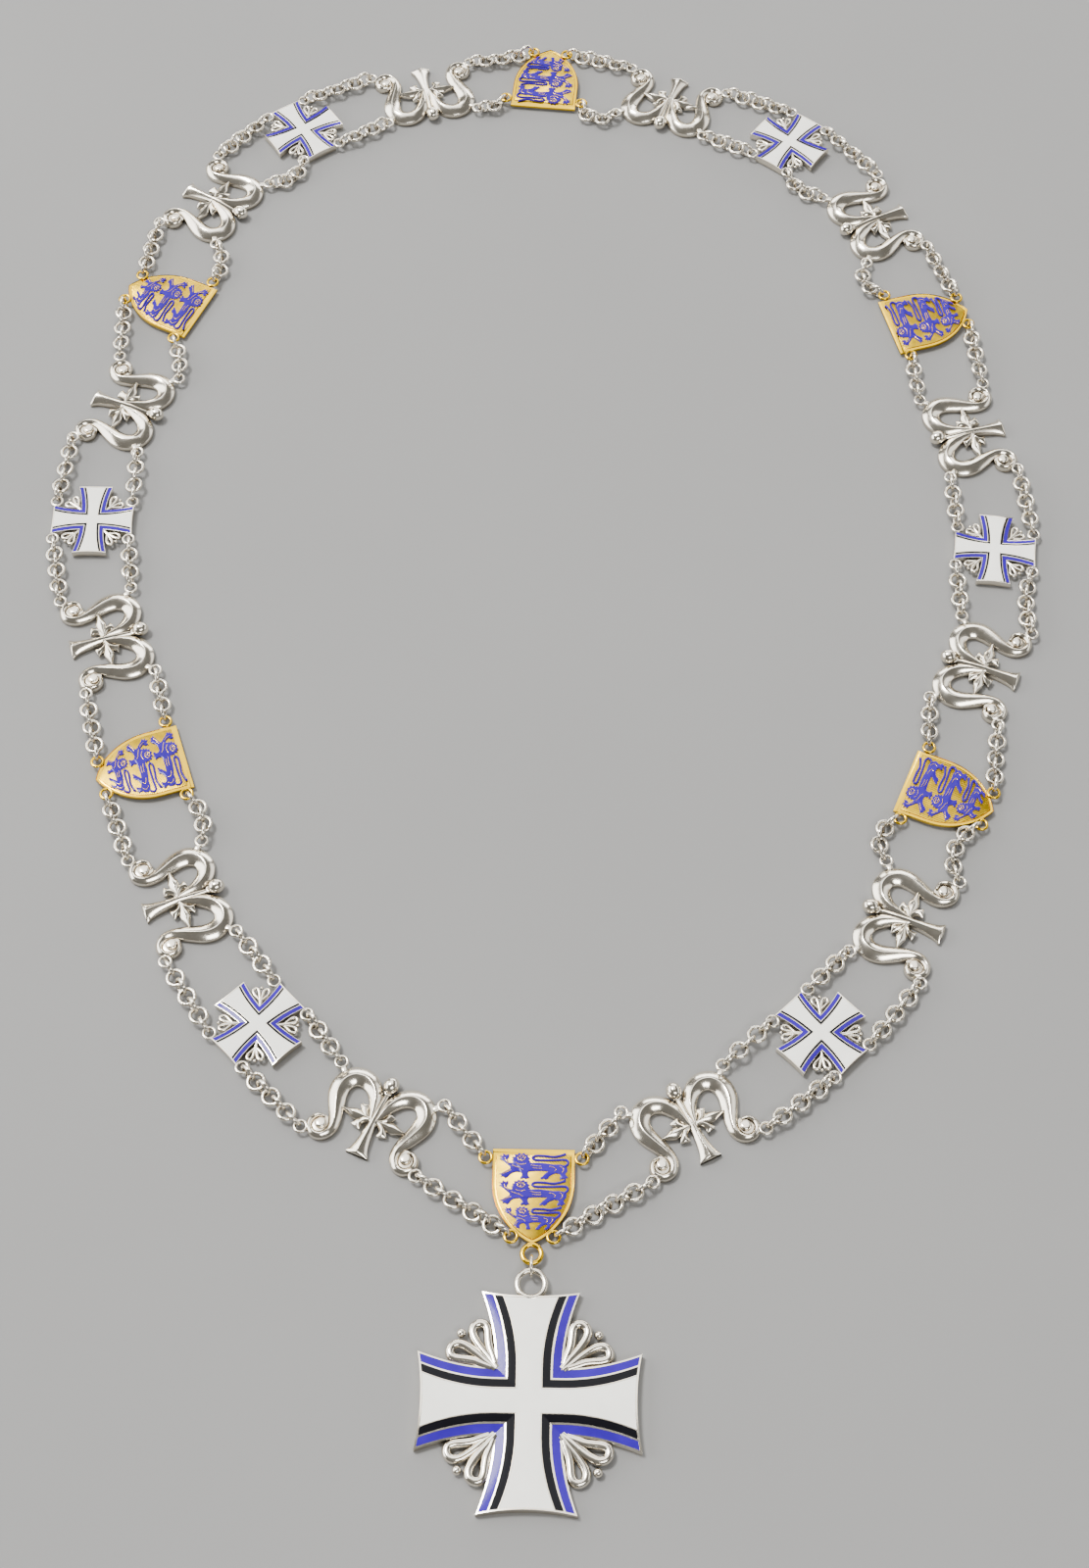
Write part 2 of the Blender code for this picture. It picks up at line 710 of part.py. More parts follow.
def main():
    """Build the collar."""
    clear_scene()
    finishes = {
        "scroll": material("silver", SILVER, 1.0, 0.25),
        "shield": material("gilt", GOLD, 1.0, 0.25),
        "cross": material("enamel", ENAMEL_WHITE, 0.0, 0.15),
    }
    pieces = build_plaques(finishes) + build_drop(finishes)
    centre_on_table(pieces)


main()
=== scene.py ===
"""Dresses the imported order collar: openwork links, shields, crosses, chains and the pendant."""
import math

import bpy
from bpy.props import FloatProperty, FloatVectorProperty, IntProperty, PointerProperty
from mathutils import Matrix, Vector


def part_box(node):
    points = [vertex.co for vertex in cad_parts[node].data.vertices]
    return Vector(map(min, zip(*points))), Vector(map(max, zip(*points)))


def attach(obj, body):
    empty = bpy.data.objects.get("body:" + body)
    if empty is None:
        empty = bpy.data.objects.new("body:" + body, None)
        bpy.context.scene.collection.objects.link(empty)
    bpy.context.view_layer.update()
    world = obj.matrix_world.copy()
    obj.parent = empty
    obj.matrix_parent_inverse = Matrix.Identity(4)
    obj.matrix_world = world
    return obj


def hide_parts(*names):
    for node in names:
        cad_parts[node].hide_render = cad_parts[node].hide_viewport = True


bl_info = {
    "name": "Order Collar",
    "version": (1, 0, 0),
    "blender": (4, 5, 0),
    "location": "View3D > Sidebar > Collar",
    "description": "Builds a ceremonial collar of plaques and chains with a cross pendant",
    "category": "Object",
}

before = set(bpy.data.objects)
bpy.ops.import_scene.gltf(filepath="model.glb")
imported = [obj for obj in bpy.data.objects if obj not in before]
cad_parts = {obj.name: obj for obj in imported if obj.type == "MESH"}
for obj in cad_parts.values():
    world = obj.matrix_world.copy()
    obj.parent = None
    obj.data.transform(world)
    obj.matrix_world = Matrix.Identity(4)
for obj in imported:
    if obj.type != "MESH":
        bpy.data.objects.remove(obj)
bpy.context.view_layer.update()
BODY = "root"
MM = 0.001

# Piece, place across and along as shares of the lie, turn in degrees, links in the inner and in the outer
# strand that lead to the next piece
LIE = (
    ("shield", -0.010, 0.000, -1.0, 5, 9),
    ("scroll", -0.175, 0.004, -24.5, 5, 7),
    ("cross", -0.281, 0.093, -47.0, 5, 7),
    ("scroll", -0.392, 0.184, -68.0, 5, 7),
    ("shield", -0.374, 0.311, -72.0, 5, 7),
    ("scroll", -0.494, 0.408, -72.0, 5, 7),
    ("cross", -0.496, 0.524, -90.5, 5, 7),
    ("scroll", -0.498, 0.644, -110.5, 5, 7),
    ("shield", -0.397, 0.733, -115.5, 5, 7),
    ("scroll", -0.415, 0.865, -121.0, 5, 7),
    ("cross", -0.291, 0.935, -146.5, 5, 7),
    ("scroll", -0.150, 0.999, -167.0, 3, 7),
    ("shield", -0.002, 0.963, -186.0, 5, 7),
    ("scroll", 0.162, 0.987, -200.0, 5, 7),
    ("cross", 0.295, 0.921, -217.0, 5, 7),
    ("scroll", 0.415, 0.842, -245.5, 5, 7),
    ("shield", 0.397, 0.718, -254.5, 5, 7),
    ("scroll", 0.503, 0.615, -256.5, 5, 7),
    ("cross", 0.491, 0.496, -277.0, 5, 7),
    ("scroll", 0.490, 0.380, -292.0, 5, 7),
    ("shield", 0.374, 0.290, -293.0, 5, 7),
    ("scroll", 0.388, 0.167, -293.0, 5, 7),
    ("cross", 0.271, 0.086, -316.0, 5, 7),
    ("scroll", 0.154, 0.001, -333.5, 5, 9),
)

# Openwork link, in millimetres, +Y towards the middle of the loop. Right-hand arch from the stem to the end
# of its volute: across, along, width, height of the ridge, height of the side walls
ARCH = (
    (0.5, 6.4, 1.5, 2.8, 2.0),
    (1.05, 8.4, 2.1, 3.0, 2.0),
    (1.6, 11.0, 3.0, 3.3, 2.0),
    (2.7, 14.1, 4.1, 3.4, 1.9),
    (4.8, 16.8, 4.9, 3.4, 1.8),
    (7.9, 18.1, 5.4, 3.4, 1.8),
    (11.1, 17.2, 5.6, 3.4, 1.8),
    (13.0, 14.3, 5.7, 3.4, 1.8),
    (13.0, 11.0, 5.5, 3.4, 1.8),
    (11.8, 7.6, 4.7, 3.3, 1.8),
    (10.5, 4.4, 3.9, 3.2, 1.8),
    (9.8, 1.4, 3.2, 3.1, 1.8),
    (10.4, -1.0, 2.7, 3.0, 1.9),
    (12.0, -2.6, 2.3, 3.0, 2.0),
    (14.2, -2.7, 2.1, 3.0, 2.0),
    (15.9, -1.2, 2.0, 3.0, 2.0),
    (16.1, 0.9, 1.8, 3.0, 2.0),
    (14.9, 2.6, 1.5, 2.9, 2.0),
    (12.9, 2.9, 1.1, 2.7, 1.9),
)
# Stem from its foot up to the ball, in the same columns
STEM = (
    (0.0, -3.7, 6.6, 2.1, 1.4),
    (0.0, -3.0, 6.3, 3.0, 1.5),
    (0.0, -2.2, 5.3, 3.1, 1.6),
    (0.0, -0.8, 4.3, 3.2, 1.8),
    (0.0, 1.4, 3.4, 3.2, 2.0),
    (0.0, 4.0, 2.7, 3.2, 2.2),
    (0.0, 7.0, 2.3, 3.2, 2.3),
    (0.0, 10.0, 2.2, 3.1, 2.3),
    (0.0, 13.0, 1.9, 2.7, 2.0),
    (0.0, 17.0, 1.5, 2.2, 1.6),
)
# Fleur-de-lis that points from the stem into the right-hand arch: middle petal and upper petal
MIDDLE_PETAL = (
    (0.8, 7.4, 2.2, 2.8, 2.0),
    (2.0, 7.4, 1.5, 2.9, 2.1),
    (3.1, 7.4, 1.9, 3.0, 2.1),
    (4.5, 7.4, 2.9, 3.1, 2.0),
    (6.0, 7.4, 3.1, 3.1, 2.0),
    (7.6, 7.4, 1.9, 2.9, 2.0),
    (9.8, 7.4, 0.6, 2.5, 1.9),
)
SIDE_PETAL = (
    (1.3, 7.5, 1.6, 2.7, 2.0),
    (2.4, 7.9, 1.7, 2.9, 2.1),
    (3.3, 8.7, 1.8, 2.9, 2.1),
    (3.8, 9.7, 2.1, 2.8, 2.0),
    (4.0, 10.5, 2.7, 2.5, 1.9),
    (4.1, 10.9, 2.9, 2.2, 1.8),
)
PETAL_BOTTOM = 0.7
# Section of a band: share of the width, share of the way up from the bottom to the wall and on to the ridge
BAND_SECTION = (
    (-0.5, 0.0, 0.0),
    (-0.5, 1.0, 0.0),
    (-0.27, 1.0, 0.53),
    (-0.02, 1.0, 1.0),
    (0.25, 1.0, 0.57),
    (0.5, 1.0, 0.0),
    (0.5, 0.0, 0.0),
)
# Rings at an arch's shoulder and volute, and the bars that carry them: root, tip and width
SHOULDER_EYE = (16.1, 19.6)
SHOULDER_LUG = ((13.6, 17.1), (15.05, 18.55), 1.7)
VOLUTE_EYE = (17.8, -2.6)
VOLUTE_LUG = ((15.2, -1.45), (16.45, -2.0), 1.5)
LUG_BOTTOM = 1.3
LUG_TOP = 2.6
# Middle of a volute, then radius, height and rounding of its floor and of its button
VOLUTE_MIDDLE = (13.15, 0.75)
VOLUTE_DISCS = ((2.8, 1.8, 0.2), (1.65, 2.9, 0.7))
DISC_BOTTOM = 0.1
# Ball on top of the stem, and the ring below it: place along, height, width and wire
BALL_ALONG = 18.8
BALL_HEIGHT = 2.25
BALL_WIDTH = 4.4
BALL_STRETCH = 1.16
BALL_RING = (16.8, 1.9, 2.6, 0.9)
# Rounding of the cast edges, of the petals, of the shields and lions and of the bars, in millimetres
CAST_EDGE = 0.17
PETAL_EDGE = 0.08
FINE_EDGE = 0.05
LUG_EDGE = 0.45

# Segments of each of the shield's curved sides
SHIELD_ARC_STEPS = 12
# Shield's rings, in millimetres: below its straight edge and over its side, then near its point
SHIELD_EYE_ALONG = 2.8
SHIELD_EYE_LAP = 0.15
POINT_EYE_ALONG = 25.7
POINT_EYE_OUT = 1.6
# Slopes outside and inside the shield's rim, zone and fall of its moulding, and a hair's breadth
RIM_SLOPE = 0.14
FIELD_SLOPE = 0.12
MOULDING_ZONE = 1.5
MOULDING_FALL = 0.5
HAIR = 0.05
# Walking lion, drawn as shares of the room between the shield's sides, left and down are negative
LION = (
    (-0.97, 0.50), (-0.90, 0.60), (-0.98, 0.74), (-0.88, 0.72), (-0.87, 0.92), (-0.79, 0.76), (-0.71, 0.88),
    (-0.70, 0.64), (-0.76, 0.48), (-0.70, 0.26), (-0.62, 0.18), (-0.58, 0.34), (-0.63, 0.42), (-0.56, 0.50),
    (-0.61, 0.64), (-0.53, 0.68), (-0.54, 0.86), (-0.46, 0.82), (-0.42, 0.98), (-0.35, 0.86), (-0.27, 0.98),
    (-0.24, 0.82), (-0.16, 0.84), (-0.17, 0.66), (-0.09, 0.58), (-0.15, 0.46), (-0.08, 0.34), (-0.15, 0.28),
    (-0.04, 0.22), (0.14, 0.26), (0.36, 0.20), (0.56, 0.12), (0.74, 0.14), (0.88, 0.06), (0.95, -0.12),
    (0.96, -0.36), (0.90, -0.54), (0.93, -0.70), (0.99, -0.84), (0.92, -0.86), (0.92, -0.98), (0.84, -0.90),
    (0.76, -0.98), (0.74, -0.84), (0.78, -0.70), (0.74, -0.56), (0.64, -0.50), (0.52, -0.62), (0.44, -0.76),
    (0.42, -0.90), (0.34, -0.98), (0.30, -0.90), (0.22, -0.98), (0.19, -0.86), (0.26, -0.76), (0.30, -0.62),
    (0.38, -0.46), (0.42, -0.36), (0.20, -0.34), (0.00, -0.36), (-0.14, -0.40), (-0.16, -0.56),
    (-0.14, -0.74), (-0.10, -0.88), (-0.18, -0.92), (-0.22, -0.99), (-0.28, -0.90), (-0.36, -0.97),
    (-0.38, -0.84), (-0.32, -0.72), (-0.34, -0.54), (-0.40, -0.44), (-0.50, -0.44), (-0.60, -0.52),
    (-0.68, -0.66), (-0.72, -0.80), (-0.80, -0.92), (-0.84, -0.80), (-0.93, -0.84), (-0.90, -0.70),
    (-0.99, -0.62), (-0.90, -0.56), (-0.84, -0.46), (-0.74, -0.34), (-0.66, -0.20), (-0.68, -0.04),
    (-0.76, 0.10), (-0.84, 0.30),
)
LION_TAIL = (
    (0.88, -0.02), (0.97, 0.18), (0.96, 0.42), (0.84, 0.50), (0.60, 0.46), (0.30, 0.44), (0.04, 0.46),
    (-0.03, 0.60), (0.06, 0.76), (0.30, 0.76), (0.56, 0.70), (0.74, 0.78), (0.88, 0.90),
)
# Gold lines inside a lion: face, mane, shoulder, ribs and thigh
LION_LINES = (
    ((-0.46, 0.62), (-0.39, 0.76), (-0.28, 0.72), (-0.24, 0.54), (-0.32, 0.38), (-0.42, 0.44),
     (-0.46, 0.62)),
    ((-0.42, 0.60), (-0.39, 0.64), (-0.36, 0.60)),
    ((-0.34, 0.60), (-0.31, 0.64), (-0.28, 0.60)),
    ((-0.36, 0.54), (-0.37, 0.46), (-0.33, 0.46)),
    ((-0.52, 0.26), (-0.44, 0.14), (-0.34, 0.10), (-0.22, 0.18)),
    ((-0.62, 0.04), (-0.50, -0.08), (-0.38, -0.16), (-0.30, -0.30)),
    ((-0.82, 0.60), (-0.78, 0.36), (-0.70, 0.16)),
    ((-0.86, -0.62), (-0.76, -0.46), (-0.64, -0.34)),
    ((-0.08, 0.06), (0.06, 0.00), (0.22, -0.02)),
    ((-0.02, -0.14), (0.10, -0.18), (0.24, -0.18)),
    ((0.44, -0.02), (0.56, -0.08), (0.64, -0.22), (0.60, -0.36)),
    ((0.74, 0.00), (0.84, -0.14), (0.84, -0.34), (0.80, -0.48)),
)
# Each lion's middle and height below the shield's straight edge, in millimetres
LION_ROWS = ((-5.25, 7.9), (-13.0, 7.7), (-20.4, 6.9))
# Room between a lion and the shield's side, and half a lion's length at most
LION_MARGIN = 1.35
LION_REACH = 9.75
# How deep a lion's body, tail and tuft are sunk, how wide the last two and the gold lines are
BODY_SINK = 0.10
TAIL_SINK = 0.12
TUFT_SINK = 0.15
TAIL_WIDTH = 0.68
TUFT_WIDTH = 0.90
LINE_WIDTH = 0.20
TUFT_SQUASH = 0.4

# Finishes of a cross in the order of its material slots
CROSS_FINISHES = ("collar_silver", "collar_blue", "collar_black", "collar_white")
SILVER, BLUE, BLACK, WHITE = range(4)
# Bands along the arms of the small crosses and of the pendant: width in millimetres and finish
SMALL_BANDS = ((0.12, SILVER), (1.22, BLUE), (0.14, SILVER), (0.66, BLACK), (0.05, SILVER))
LARGE_BANDS = ((0.50, SILVER), (2.35, BLUE), (0.42, SILVER), (2.25, BLACK), (0.20, SILVER))
# Their faces: rim, drop of the enamel and dome in millimetres, sag of the arms' sides and ends as shares
SMALL_RELIEF = (0.3, 0.04, 0.35, 0.03, 0.02)
LARGE_RELIEF = (0.5, 0.07, 0.8, 0.05, 0.05)
ARM_STEPS = 18
# A small cross's rings: how far they lap over its arms and lie in from its arms' ends
CROSS_EYE_LAP = 0.3
CROSS_EYE_IN = 0.8
# Knots in the angles of the small crosses and of the pendant: middle of the cord on one side, along the
# bisector and across it, as shares of the knot's reach
SMALL_KNOT = (
    (0.00, 0.00),
    (0.22, 0.020),
    (0.42, 0.040),
    (0.60, 0.070),
    (0.76, 0.105),
    (0.87, 0.170),
    (0.905, 0.260),
    (0.86, 0.345),
    (0.75, 0.375),
    (0.63, 0.335),
    (0.52, 0.240),
    (0.42, 0.140),
    (0.34, 0.060),
)
LARGE_KNOT = (
    (-0.03, 0.01),
    (0.20, 0.045),
    (0.40, 0.060),
    (0.58, 0.085),
    (0.72, 0.120),
    (0.83, 0.180),
    (0.885, 0.280),
    (0.855, 0.395),
    (0.760, 0.450),
    (0.650, 0.415),
    (0.52, 0.310),
    (0.38, 0.205),
    (0.22, 0.130),
    (0.06, 0.050),
)
SMALL_KNOT_HEIGHT = 1.9
LARGE_KNOT_HEIGHT = 1.6
# Rise of the cord where it crosses, as a share of its thickness, and place of the bead
CORD_RISE = 0.12
BEAD_OUT = 0.955
# Places along the lowest shield's axis from its straight edge, and of the pendant's ring from its middle
TIP_RING_ALONG = -30.7
JUMP_RING_ALONG = -34.449
PENDANT_ALONG = -71.33
PENDANT_RING_ALONG = 32.12

# Swelling of a link's soldered joint, and the angle that it takes up
JOINT_SWELLING = 0.10
JOINT_ANGLE = 0.25
# How the links' lean changes along a strand and from strand to strand, and how much of it a lying link has
LEAN_STEP = 2.4
LEAN_SHIFT = 1.7
LYING_LEAN = 0.7
# Share of the possible fall by which a lying link hangs in its neighbours
DROOP = 0.9

# Soft lights: name, place, width, depth and power
SOFTBOXES = (
    ("high_light", (-0.1, 0.75, 1.35), 1.3, 1.5, 17.0),
    ("west_light", (-1.3, 0.25, 0.60), 2.0, 0.8, 28.0),
    ("north_light", (0.2, 1.5, 0.35), 1.6, 0.4, 13.0),
    ("east_light", (1.3, 0.30, 0.50), 1.8, 0.5, 5.0),
    ("south_light", (0.35, -1.00, 1.05), 0.7, 0.35, 10.0),
)
KEY_SPOT = (-0.50, 0.35, 1.20)
KEY_STRENGTH = 4.2
KEY_ANGLE = 15.0
AIR_COLOUR = (0.96, 0.95, 0.93, 1.0)
AIR_STRENGTH = 0.18
FLOOR_SIZE = 30.0
FLOOR_DROP = 0.02
CAMERA_TARGET = (0.3, -43.2, 2.5)
SENSOR_WIDTH = 36.0


def metres(name, description, default):
    """Return a property for a length in metres."""
    return FloatProperty(name=name, description=description, default=default, unit="LENGTH")


def colour(name, description, default):
    """Return a property for a colour."""
    return FloatVectorProperty(name=name, description=description, default=default, subtype="COLOR")


class PlaqueSizes(bpy.types.PropertyGroup):
    """Sizes that all plaques share, the lie of the loop and the rings soldered to the plaques."""

    lie_width: metres("Lie Width", "Width of the loop between the outermost plaques", 0.290)
    lie_length: metres("Lie Length", "Length of the loop from the lowest plaque up", 0.408)
    eye_outer: metres("Ring Width", "Outer width of the soldered rings", 0.0043)
    eye_wire: metres("Ring Wire", "Thickness of the soldered rings' wire", 0.0009)
    eye_height: metres("Ring Height", "Height of the rings above the table", 0.0022)


class ChainSizes(bpy.types.PropertyGroup):
    """Sizes of the chains."""

    link_outer: metres("Link Width", "Outer width of a link", 0.0059)
    link_wire: metres("Link Wire", "Thickness of a link's wire", 0.00115)
    slack_pitch: metres("Slack Pitch", "Distance between links of a slack strand", 0.0030)
    sides: IntProperty(name="Link Sides", description="Segments round a link", default=16, min=10)
    wire_sides: IntProperty(name="Wire Sides", description="Segments round a link's wire", default=6, min=5)
    lean: FloatProperty(name="Lean", description="How far the links lean over at most", default=0.26,
                        subtype="ANGLE")


class ShieldSizes(bpy.types.PropertyGroup):
    """Sizes of the shields."""

    width: metres("Width", "Width of the shield", 0.0227)
    length: metres("Length", "Length from the straight edge to the point", 0.0276)
    straight: metres("Straight Sides", "Length of the sides before they curve", 0.0100)
    bottom: metres("Bottom", "Height of the shield's back above the table", 0.0009)
    thick: metres("Thickness", "Thickness of the shield", 0.0016)
    rim: metres("Rim", "Width of the polished rim", 0.0008)
    moulding: metres("Moulding", "Width of the slope along the straight edge", 0.0009)
    field_depth: metres("Field Depth", "How deep the field lies below the rim", 0.00030)


class CrossSizes(bpy.types.PropertyGroup):
    """Sizes of the small crosses."""

    span: metres("Span", "Width over two arms", 0.0257)
    root: metres("Arm Root", "Width of an arm at the middle", 0.0077)
    tip: metres("Arm Tip", "Width of an arm at its end", 0.0108)
    bottom: metres("Bottom", "Height of the back above the table", 0.0004)
    thick: metres("Thickness", "Thickness of the cross", 0.0026)
    knot: metres("Knot Reach", "Reach of a knot from its angle", 0.0062)
    cord: metres("Knot Cord", "Thickness of the knots' cord", 0.00100)


class PendantSizes(bpy.types.PropertyGroup):
    """Sizes of the pendant and its rings."""

    span: metres("Span", "Width over two arms", 0.0600)
    root: metres("Arm Root", "Width of an arm at the middle", 0.0182)
    tip: metres("Arm Tip", "Width of an arm at its end", 0.0266)
    thick: metres("Thickness", "Thickness of the cross", 0.0032)
    knot: metres("Knot Reach", "Reach of a knot from its angle", 0.0138)
    cord: metres("Knot Cord", "Thickness of the knots' cord", 0.0026)
    ring_outer: metres("Ring Width", "Outer width of the pendant's ring", 0.0093)
    ring_wire: metres("Ring Wire", "Thickness of the pendant's ring", 0.0017)
    tip_ring_outer: metres("Gilt Ring Width", "Outer width of the gilt ring", 0.0066)
    tip_ring_wire: metres("Gilt Ring Wire", "Thickness of the gilt ring", 0.0014)
    jump_outer: metres("Jump Ring Width", "Outer width of the jump ring", 0.0064)
    jump_wire: metres("Jump Ring Wire", "Thickness of the jump ring", 0.0008)
    height: metres("Ring Height", "Height of the flat rings above the table", 0.0024)


class Finishes(bpy.types.PropertyGroup):
    """Colours of the metals and the enamels."""

    silver: colour("Silver", "Colour of the silver", (0.89, 0.83, 0.71))
    gold: colour("Gilt", "Colour of the gilding", (0.84, 0.53, 0.015))
    white: colour("White Enamel", "Colour of the white enamel", (0.94, 0.925, 0.845))
    blue: colour("Blue Enamel", "Colour of the blue enamel", (0.035, 0.008, 0.30))
    black: colour("Black Enamel", "Colour of the black enamel", (0.006, 0.006, 0.008))


class StageSettings(bpy.types.PropertyGroup):
    """Floor, camera and light."""

    floor: colour("Floor", "Colour of the floor", (0.215, 0.212, 0.205))
    lens: FloatProperty(name="Focal Length", description="Focal length on a 36 mm sensor", default=59.9,
                        subtype="DISTANCE_CAMERA")
    distance: metres("Camera Distance", "Distance to the aimed point", 0.782)
    elevation: FloatProperty(name="Elevation", description="Angle of the camera above the table",
                             default=math.radians(60.0), subtype="ANGLE")


def settings():
    """Return the scene, which holds the settings of every group."""
    return bpy.context.scene


def deselect():
    """Leave edit mode and select nothing."""
    if bpy.context.object is not None and bpy.context.object.mode != "OBJECT":
        bpy.ops.object.mode_set(mode="OBJECT")
    bpy.ops.object.select_all(action="DESELECT")


def pick(*pieces):
    """Select only these pieces and make the first one active."""
    deselect()
    for piece in pieces:
        piece.select_set(True)
    bpy.context.view_layer.objects.active = pieces[0]


def join(name, pieces):
    """Join pieces into one object of that name."""
    pick(*pieces)
    if len(pieces) > 1:
        bpy.ops.object.join()
    joined = bpy.context.view_layer.objects.active
    joined.name = name
    joined.data.name = name
    return joined


def tidy(piece, cap=False):
    """Merge a piece's doubled points, close its open ends if asked, and turn its faces outwards."""
    pick(piece)
    bpy.ops.object.mode_set(mode="EDIT")
    bpy.ops.mesh.select_all(action="SELECT")
    bpy.ops.mesh.remove_doubles(threshold=1e-6)
    if cap:
        bpy.ops.mesh.fill_holes(sides=0)
    bpy.ops.mesh.normals_make_consistent(inside=False)
    bpy.ops.object.mode_set(mode="OBJECT")
    return piece


def smooth(piece, degrees=30.0):
    """Shade a piece smooth and keep its sharper edges."""
    pick(piece)
    bpy.ops.object.shade_smooth_by_angle(angle=math.radians(degrees))
    return piece


def bevel(piece, width, segments=2, degrees=35.0):
    """Round a piece's sharp edges a little."""
    pick(piece)
    rounding = piece.modifiers.new("edge", "BEVEL")
    rounding.width = width
    rounding.segments = segments
    rounding.limit_method = "ANGLE"
    rounding.angle_limit = math.radians(degrees)
    rounding.use_clamp_overlap = True
    bpy.ops.object.modifier_apply(modifier=rounding.name)
    return piece


def paint(piece, *finishes):
    """Give a piece its materials."""
    piece.data.materials.clear()
    for finish in finishes:
        piece.data.materials.append(finish)
    return piece


def copied(piece, name, matrix):
    """Return a copy of a piece with its own mesh, moved by a matrix."""
    pick(piece)
    bpy.ops.object.duplicate(linked=False)
    twin = bpy.context.object
    twin.name = name
    twin.data.name = name
    twin.data.transform(matrix)
    if matrix.determinant() < 0:
        twin.data.flip_normals()
    return twin


def remove(*pieces):
    """Take away pieces that were only patterns."""
    for piece in pieces:
        bpy.data.objects.remove(piece, do_unlink=True)


def grid_sheet(name, columns, rows, place):
    """Add a grid and put each of its points where place(column, row) says."""
    deselect()
    bpy.ops.mesh.primitive_grid_add(x_subdivisions=columns - 1, y_subdivisions=rows - 1, size=2.0)
    sheet = bpy.context.object
    sheet.name = name
    cells = [(round((point.co.x + 1) / 2 * (columns - 1)), round((point.co.y + 1) / 2 * (rows - 1)))
             for point in sheet.data.vertices]
    if len(set(cells)) != columns * rows:
        raise RuntimeError(f"{name}: the grid has {len(set(cells))} points, not {columns * rows}")
    for point, (column, row) in zip(sheet.data.vertices, cells):
        point.co = place(column, row)
    return sheet, cells


def outline_face(name, outline, height):
    """Add a filled circle and pull it into a flat outline."""
    deselect()
    bpy.ops.mesh.primitive_circle_add(vertices=len(outline), radius=1.0, fill_type="NGON")
    face = bpy.context.object
    face.name = name
    for point, (x, y) in zip(face.data.vertices, outline):
        point.co = (x, y, height)
    return face


def raise_face(piece, rise):
    """Extrude a flat face upwards into a plate and leave its top selected in edit mode."""
    pick(piece)
    bpy.ops.object.mode_set(mode="EDIT")
    bpy.ops.mesh.select_all(action="SELECT")
    bpy.ops.mesh.select_mode(type="FACE")
    bpy.ops.mesh.extrude_region_move(TRANSFORM_OT_translate={"value": (0.0, 0.0, rise)})


def settled(name):
    """Name the new object and apply its place to its mesh."""
    made = bpy.context.object
    made.name = name
    bpy.ops.object.transform_apply(location=True, rotation=True, scale=True)
    return made


def ring(name, centre, outer, wire, sides=20, wire_sides=8, upright=False):
    """Add a round wire ring, lying or upright."""
    deselect()
    turn = (0.0, math.pi / 2, 0.0) if upright else (0.0, 0.0, 0.0)
    bpy.ops.mesh.primitive_torus_add(major_segments=sides, minor_segments=wire_sides, location=centre,
                                     rotation=turn, major_radius=(outer - wire) / 2,
                                     minor_radius=wire / 2)
    made = settled(name)
    bpy.ops.object.shade_smooth()
    return made


def ball(name, centre, width, sides, rows, squash=1.0):
    """Add a ball, flattened by a share of its height."""
    deselect()
    bpy.ops.mesh.primitive_uv_sphere_add(segments=sides, ring_count=rows, radius=width / 2,
                                         location=centre, scale=(1.0, 1.0, squash))
    made = settled(name)
    bpy.ops.object.shade_smooth()
    return made


def spline_rows(rows, steps):
    """Return rows of numbers with smooth steps between them, by Catmull-Rom curves."""
    made = []
    for i in range(len(rows) - 1):
        before, first, second, after = (rows[max(0, min(k, len(rows) - 1))] for k in range(i - 1, i + 3))
        for step in range(steps):
            t = step / steps
            made.append([
                0.5 * (2 * b + (c - a) * t + (2 * a - 5 * b + 4 * c - d) * t * t
                       + (3 * b - a - 3 * c + d) * t ** 3)
                for a, b, c, d in zip(before, first, second, after)
            ])
    made.append(list(rows[-1]))
    return made


def band(name, rows, bottom=0.0, steps=4, foot_curve=0.0):
    """Add a ridged band along rows of place, width, ridge height and wall height, in millimetres."""
    line = spline_rows(rows, steps)
    count = len(line)

    def place(column, row):
        x, y, width, ridge, wall = line[column]
        ahead, behind = line[min(column + 1, count - 1)], line[max(column - 1, 0)]
        along = Vector((ahead[0] - behind[0], ahead[1] - behind[1])).normalized()
        side, up, over = BAND_SECTION[row % len(BAND_SECTION)]
        rise = bottom + (wall - bottom) * up + (ridge - wall) * over
        spot = Vector((x, y)) + Vector((along.y, -along.x)) * side * width
        if column == 0:
            spot += along * foot_curve * (2 * side) ** 2
        return Vector((spot.x, spot.y, rise)) * MM

    sheet, _ = grid_sheet(name, count, len(BAND_SECTION) + 1, place)
    return tidy(sheet, cap=True)


def wire(name, points, thick, steps, sides):
    """Add a round wire along points and turn it into a mesh."""
    deselect()
    bpy.ops.curve.primitive_nurbs_path_add(radius=1.0)
    path = bpy.context.object
    path.name = name
    curve = path.data
    curve.splines.clear()
    line = spline_rows(points, steps)
    spline = curve.splines.new("POLY")
    spline.points.add(len(line) - 1)
    for point, place in zip(spline.points, line):
        point.co = (*place, 1.0)
    curve.dimensions = "3D"
    curve.bevel_depth = thick / 2
    curve.bevel_resolution = sides
    curve.use_fill_caps = True
    pick(path)
    bpy.ops.object.convert(target="MESH")
    bpy.ops.object.shade_smooth()
    return bpy.context.object


def principled(name, metallic, roughness):
    """Return a new material with its node tree and its shader."""
    finish = bpy.data.materials.new(name)
    finish.use_nodes = True
    shader = finish.node_tree.nodes["Principled BSDF"]
    shader.inputs["Metallic"].default_value = metallic
    shader.inputs["Roughness"].default_value = roughness
    return finish, finish.node_tree, shader


